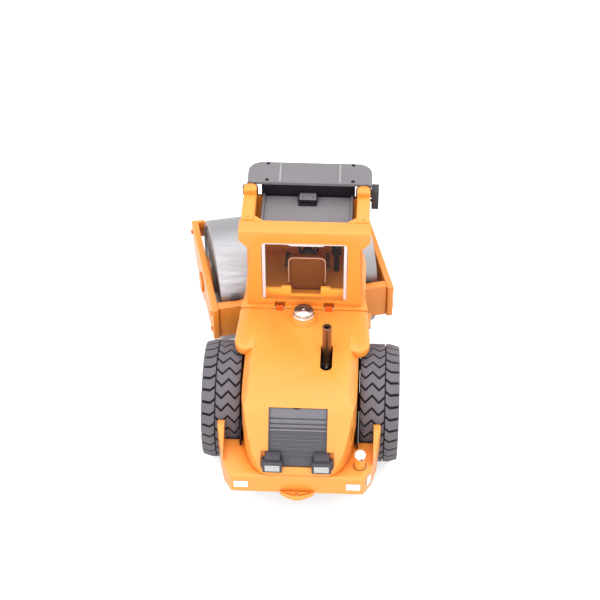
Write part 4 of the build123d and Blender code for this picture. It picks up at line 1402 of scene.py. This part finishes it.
# ---- cab -------------------------------------------------------------------------
@dataclass
class Cab(Assembly):
    """Cab frames, glass and everything inside."""

    castings: Castings
    wheel_centre: Point3 = (0.5, 34.8, 45.4)
    wheel_tilt: float = 28.0
    wheel_hub: Outline = ((-0.4, 0.0), (-0.4, 0.75), (0.2, 0.95), (0.45, 0.6), (0.5, 0.0))
    lip: Outline = ((-5.2, 60.2), (-3.9, 59.75), (4.9, 59.75), (6.2, 60.2), (6.2, 59.9), (4.9, 59.3),
                    (-3.9, 59.3), (-5.2, 59.9))

    def seat(self) -> None:
        """Builds the seat with its back, a pale rim round the back as painted highlight, and a cushion."""
        back = slab("seat_shell", (-4.7, 5.7), (24.6, 26.9), (41.0, 50.3), 0.75, 5)
        cushion = slab("pad", (-4.7, 5.7), (26.6, 33.5), (41.0, 43.1), 0.8, 5)
        skirt = slab("skirt", (-4.5, 5.5), (24.7, 26.4), (38.3, 41.6), 0.4, 3)
        self.keep(join("seat_shell", back, cushion, skirt), SEAT, "seat")
        frame = block("seat_piping", (-4.95, 5.95), (24.2, 24.6), (41.2, 50.6))
        frame = bevel_where(frame, lambda mid, way: abs(way.y) > 0.9 and mid.z > 50, 1.7)
        hole = block("hole", (-4.65, 5.65), (23.0, 26.0), (40.0, 50.3))
        hole = bevel_where(hole, lambda mid, way: abs(way.y) > 0.9 and mid.z > 50, 1.5)
        self.keep(round_edges(carve(frame, hole), 0.08, 2, 40), SEAT_RIM_HIGHLIGHT)

    def steering_wheel(self) -> None:
        """Builds the rim, three spokes and the hub."""
        deselect()
        centre = Vector(self.wheel_centre) * MM
        tilt = math.radians(self.wheel_tilt)
        bpy.ops.mesh.primitive_torus_add(major_radius=2.6 * MM, minor_radius=0.4 * MM, major_segments=48,
                                         minor_segments=14, location=(0, 0, 0))
        rim = take_new("steering_rim")
        hub = lathe("hub", self.wheel_hub, (0, 0, 0), Axis.Z, 24)
        spoke = slab("spoke", (0.5, 2.5), (-0.26, 0.26), (-0.2, 0.15), 0.08, 2)
        spoke.data.transform(Matrix.Rotation(math.radians(90), 4, "Z"))
        more = [copy_of(spoke, f"spoke_{k}", Matrix.Rotation(math.radians(120 * k), 4, "Z")) for k in (1, 2)]
        wheel = join("steering_rim", rim, hub, spoke, *more)
        wheel.data.transform(Matrix.Translation(centre) @ Matrix.Rotation(tilt, 4, "X"))
        self.keep(wheel, BLACK, "steering_wheel")
        shroud = ball("steering_shroud", 2.2, (0.5, 34.4, 43.6), (1.0, 0.8, 0.75))
        self.keep(shroud, CHASSIS, angle=60)

    def lever(self) -> None:
        """Builds the console post with its instrument head and dial."""
        post = slab("console_lever", (8.0, 9.6), (34.0, 36.0), (37.1, 43.8), 0.2, 3)
        head = slab("head", (7.4, 10.2), (33.8, 35.6), (43.6, 49.2), 0.45, 4)
        dial = rod("dial", 0.75, (8.8, 33.6, 46.9), (8.8, 33.9, 46.9), 24)
        self.keep(join("console_lever", post, head, dial), BLACK, "control_lever")

    def panes(self) -> None:
        """Builds the rear pane with a pale rim and lip on its edges as painted highlight, and dresses the
        other panes.
        """
        pane = slab("rear_pane", (-12.25, 12.25), (19.45, 19.85), (39.05, 60.35), 0.1, 2)
        self.keep(pane, GLASS, "glass_rear")
        # pale rim and lip: painted highlight on the glass edges
        strips = [block("rear_pane_rim", (-12.2, -11.2), (19.2, 20.1), (39.3, 60.2)),
                  block("strip", (11.2, 12.2), (19.2, 20.1), (39.3, 60.2)),
                  block("strip", (-11.2, 11.2), (19.2, 20.1), (59.6, 60.2))]
        rim = join("rear_pane_rim", *[round_edges(s, 0.15, 2) for s in strips])
        self.keep(rim, GLASS_EDGE_HIGHLIGHT)
        self.keep(outline_prism("rear_pane_lip", self.lip, Axis.Y, (19.1, 19.5)), GLASS_EDGE_HIGHLIGHT)
        for node in ("glass_left", "glass_right", "glass_front"):
            self.castings.keep(node, SMOKED)

    def build(self) -> None:
        """Builds the cab group."""
        frames = ("cab_base", "cab_rear_frame", "cab_side_left", "cab_side_right", "cab_front_frame")
        self.castings.soften_all(REAR, [(node, BODY, 0.25) for node in frames])
        # the interior bulkhead's lighter, glowing enamel is painted light
        self.castings.soften_all(REAR, [
            ("interior_bulkhead", INNER_PAINTED_LIGHT, 0.15), ("cab_steps", BODY, 0.12), ("seat_base", SEAT_DARK, 0.15),
            ("armrests", SEAT_DARK, 0.25), ("steering_column", BLACK, 0.12)])
        self.seat()
        self.steering_wheel()
        self.lever()
        self.panes()


# ---- roof ------------------------------------------------------------------------
@dataclass
class Roof(Assembly):
    """Roof panel, latch, visor and mirror."""

    castings: Castings
    screws: Outline = ((-11.65, 39.3), (-11.65, 47.0), (13.1, 39.3), (13.1, 47.0))
    visor_top: float = 67.0
    screw: Outline = ((-0.3, 0), (-0.3, 0.55), (0.1, 0.55), (0.22, 0.35), (0.24, 0))
    rail_x: float = 16.3
    highlight_strip_places: Span = (-7.9, 9.3)
    gusset: Outline = ((14.6, 23.2), (11.9, 23.2), (12.3, 23.9), (14.6, 25.8))
    plug: Outline = ((64.9, 0.0), (64.9, 0.5), (65.1, 0.5), (65.14, 0.35), (65.02, 0.28), (65.02, 0.0))

    def screw_heads(self) -> None:
        """Builds the four cross-slotted screw heads."""
        z = self.visor_top
        head = lathe("head", self.screw, (0, 0, z), Axis.Z, 20)
        head = carve(head, block("cut", (-0.7, 0.7), (-0.07, 0.07), (z + 0.08, z + 1)),
                     block("cut", (-0.07, 0.07), (-0.7, 0.7), (z + 0.08, z + 1)))
        heads = [copy_of(head, f"head_{k}", Matrix.Translation(Vector((x, y, 0)) * MM))
                 for k, (x, y) in enumerate(self.screws)]
        bpy.data.objects.remove(head, do_unlink=True)
        self.keep(join("visor_screw_heads", *heads), BLACK, "visor_screws")

    def latch_plate(self) -> None:
        """Builds the grey plate on the latch with its two dimples."""
        plate = block("latch_plate", (-2.15, 2.65), (35.25, 38.35), (62.9, 63.2))
        plate = bevel_where(plate, lambda mid, way: abs(way.z) > 0.9, 0.4)
        dimples = [rod("dimple", 0.34, (x, 36.2, 63.0), (x, 36.2, 64.0), 20) for x in (-1.2, 1.7)]
        plate = carve(plate, *dimples)
        self.keep(plate, ROOF_GREY)

    def visor_ribs(self) -> None:
        """Builds the two pale strips beside the visor's centre recess, painted highlights."""
        highlight_strips = [slab("visor_ribs", (x - 0.35, x + 0.35), (38.7, 47.7), (66.8, 67.06), 0.04, 2)
                for x in self.highlight_strip_places]
        self.keep(join("visor_ribs", *highlight_strips), PALE_GREY_HIGHLIGHT)

    def rail_ends(self) -> None:
        """Builds the rounded rail ends that stand in dark notches of the visor."""
        caps, notches = [], []
        for x in (-self.rail_x, self.rail_x):
            cap = block("rail_ends", (x - 1.9, x + 1.9), (35.0, 38.15), (64.2, 66.5))
            caps.append(bevel_where(cap, lambda mid, way: abs(way.z) > 0.9 and mid.y > 38, 1.5))
            notch = block("rail_notches", (x - 2.25, x + 2.25), (36.4, 38.3), (63.6, 66.35))
            notches.append(bevel_where(notch, lambda mid, way: abs(way.z) > 0.9 and mid.y > 38.2, 1.7))
        self.keep(round_edges(join("rail_ends", *caps), 0.25, 3), BODY)
        self.keep(join("rail_notches", *notches), BLACK)

    def beam_details(self) -> None:
        """Builds the inner gussets and the round plugs where the rails meet the beam."""
        gusset = outline_prism("beam_gussets", self.gusset, Axis.Z, (62.2, 64.9))
        self.keep(with_mirror(round_edges(gusset, 0.15, 2)), BODY)
        plug = lathe("rail_plugs", self.plug, (16.4, 24.6, 0), Axis.Z, 24)
        self.keep(with_mirror(plug), UNDER_SHADE)
        foot = slab("strut_feet", (11.9, 13.2), (24.0, 25.3), (61.7, 63.0), 0.2, 2)
        self.keep(with_mirror(foot), BLACK)

    def build(self) -> None:
        """Builds the roof group."""
        self.castings.soften_all(REAR, [
            ("roof_panel", ROOF_GREY, 0.15), ("roof_struts", ROOF_GREY, 0.1), ("roof_latch", BLACK, 0.15),
            ("roof_header", BLACK, 0.2), ("roof_visor", ROOF_GREY, 0.2), ("mirror_housing", LAMP_GREY, 0.45)])
        self.castings.keep("mirror_glass", MIRROR)
        self.screw_heads()
        self.latch_plate()
        self.rail_ends()
        self.visor_ribs()
        self.beam_details()


# ---- drum unit -------------------------------------------------------------------
@dataclass
class DrumUnit(Assembly):
    """Drum frame, articulation and the drum itself."""

    castings: Castings
    half: float = 24.2
    radius: float = 18.8
    wall: float = 17.2
    centre_y: float = 26.7

    def mantle(self) -> None:
        """Builds the turned drum mantle with bevelled rims."""
        h, r, w = self.half, self.radius, self.wall
        profile = [(-h, w), (-h, r - 0.35), (-h + 0.1, r - 0.1), (-h + 0.35, r), (h - 0.35, r),
                   (h - 0.1, r - 0.1), (h, r - 0.35), (h, w)]
        drum = lathe("drum_mantle", profile, (0, self.centre_y, r), Axis.X, 160)
        self.keep(drum, DRUM_SILVER, "drum_shell", body=DRUM)

    def build(self) -> None:
        """Builds the front unit."""
        plates = ("frame_plate_left", "frame_plate_right", "frame_rear_beam", "frame_front_beam")
        self.castings.soften_all(FRAME, [(node, UNDER_SHADE, 0.25) for node in plates])
        self.castings.soften_all(FRAME, [("articulation_yoke", CHASSIS, 0.2), ("drum_journals", UNDER_SHADE, 0.2),
                                         ("drum_scraper", CHASSIS, 0.12)])
        self.castings.keep("articulation_pin", STEEL)
        self.castings.soften("frame_bolts", UNDER_SHADE, FRAME, 0.12)
        self.castings.soften("drum_end_discs", DISC_GREY, DRUM, 0.2)
        self.mantle()


# ---- studio ----------------------------------------------------------------------
@dataclass
class Studio:
    """Pale floor, white surroundings, soft lights and the camera."""

    axle: Vector
    eye: Point3 = (15.9, -344.8, 352.1)
    look: Point3 = (-0.035, 0.7401, -0.6716)
    across: Point3 = (0.999, 0.0447, -0.0028)
    lens: float = 101.7
    ambient: float = 0.95
    glow: float = 0.55
    paper: Colour = (0.78, 0.78, 0.78)
    paper_cloud: Colour = (0.76, 0.76, 0.76)
    lights: tuple[tuple[str, Point3, float, float], ...] = (
        ("key_light", (-0.3, -0.15, 1.0), 1.7, 9.5),
        ("fill_light", (0.6, 0.3, 0.7), 1.2, 3.0),
        ("rear_light", (0.0, -0.9, 0.4), 1.0, 3.2),
    )

    def floor(self) -> None:
        """Lays the floor."""
        deselect()
        bpy.ops.mesh.primitive_plane_add(size=6)
        floor = take_new("studio_floor")
        paper = bpy.data.materials.new("floor_paper")
        paper.use_nodes = True
        tree = paper.node_tree
        sockets = tree.nodes["Principled BSDF"].inputs
        position = add(tree, "TexCoord").outputs["Object"]
        grain = group_node(tree, grain_group(), position, Fine=400.0, Broad=6.0)
        tone = mix_colour(tree, grain.outputs["Cloud"], self.paper, self.paper_cloud)
        tree.links.new(tone, sockets["Base Color"])
        sockets["Roughness"].default_value = 0.9
        sockets["Specular IOR Level"].default_value = 0.1
        sockets["Emission Color"].default_value = (1.0, 1.0, 1.0, 1.0)
        seen = add(tree, "LightPath").outputs["Is Camera Ray"]
        tree.links.new(times(tree, seen, self.glow), sockets["Emission Strength"])
        floor.data.materials.append(paper)

    def softbox(self, name: str, place: Point3, size: float, power: float) -> None:
        """Hangs a square soft light aimed at the machine.

        Args:
            name: name of the light.
            place: place in metres from the rear axle.
            size: side in metres.
            power: power in watts.
        """
        data = bpy.data.lights.new(name, "AREA")
        data.size, data.energy = size, power
        lamp = bpy.data.objects.new(name, data)
        bpy.context.scene.collection.objects.link(lamp)
        lamp.location = self.axle + Vector(place)
        lamp.rotation_mode = "QUATERNION"
        lamp.rotation_quaternion = (-Vector(place)).to_track_quat("-Z", "Y")

    def surroundings(self) -> None:
        """Makes the even white surroundings."""
        world = bpy.data.worlds.new("studio_white")
        bpy.context.scene.world = world
        world.use_nodes = True
        background = world.node_tree.nodes["Background"]
        background.inputs["Color"].default_value = (1.0, 1.0, 1.0, 1.0)
        background.inputs["Strength"].default_value = self.ambient
        bpy.context.scene.view_settings.view_transform = "Standard"

    def camera(self) -> None:
        """Sets up the camera above and behind the machine."""
        data = bpy.data.cameras.new("studio_camera")
        data.lens, data.sensor_width = self.lens, 36.0
        data.clip_start, data.clip_end = 0.01, 20.0
        camera = bpy.data.objects.new("studio_camera", data)
        bpy.context.scene.collection.objects.link(camera)
        back = -Vector(self.look).normalized()
        right = Vector(self.across).normalized()
        up = back.cross(right).normalized()
        turn = Matrix((up.cross(back), up, back)).transposed().to_4x4()
        camera.matrix_world = Matrix.Translation(self.axle + Vector(self.eye) * MM) @ turn
        bpy.context.scene.camera = camera

    def build(self) -> None:
        """Builds the studio."""
        self.floor()
        self.surroundings()
        for light in self.lights:
            self.softbox(*light)
        self.camera()


def main() -> None:
    """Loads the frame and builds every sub-assembly in order."""
    logging.basicConfig(level=logging.INFO, format="%(name)s %(message)s")
    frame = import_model()
    places = Places.from_frame()
    castings = Castings(frame["nodes"])
    assemblies = [
        RearCasting(places.rear, REAR, castings),
        EngineBay(places.rear, REAR, castings),
        Hood(places.rear, REAR, castings),
        Cab(places.rear, REAR, castings),
        Roof(places.rear, REAR, castings),
        RearWheels(places.rear, WHEELS, castings),
        DrumUnit(places.front, FRAME, castings),
    ]
    for assembly in assemblies:
        LOG.info("building %s", type(assembly).__name__)
        assembly.build()
    Studio(Places.centre("rear_axle")).build()
    deselect()


if __name__ == "__main__":
    main()
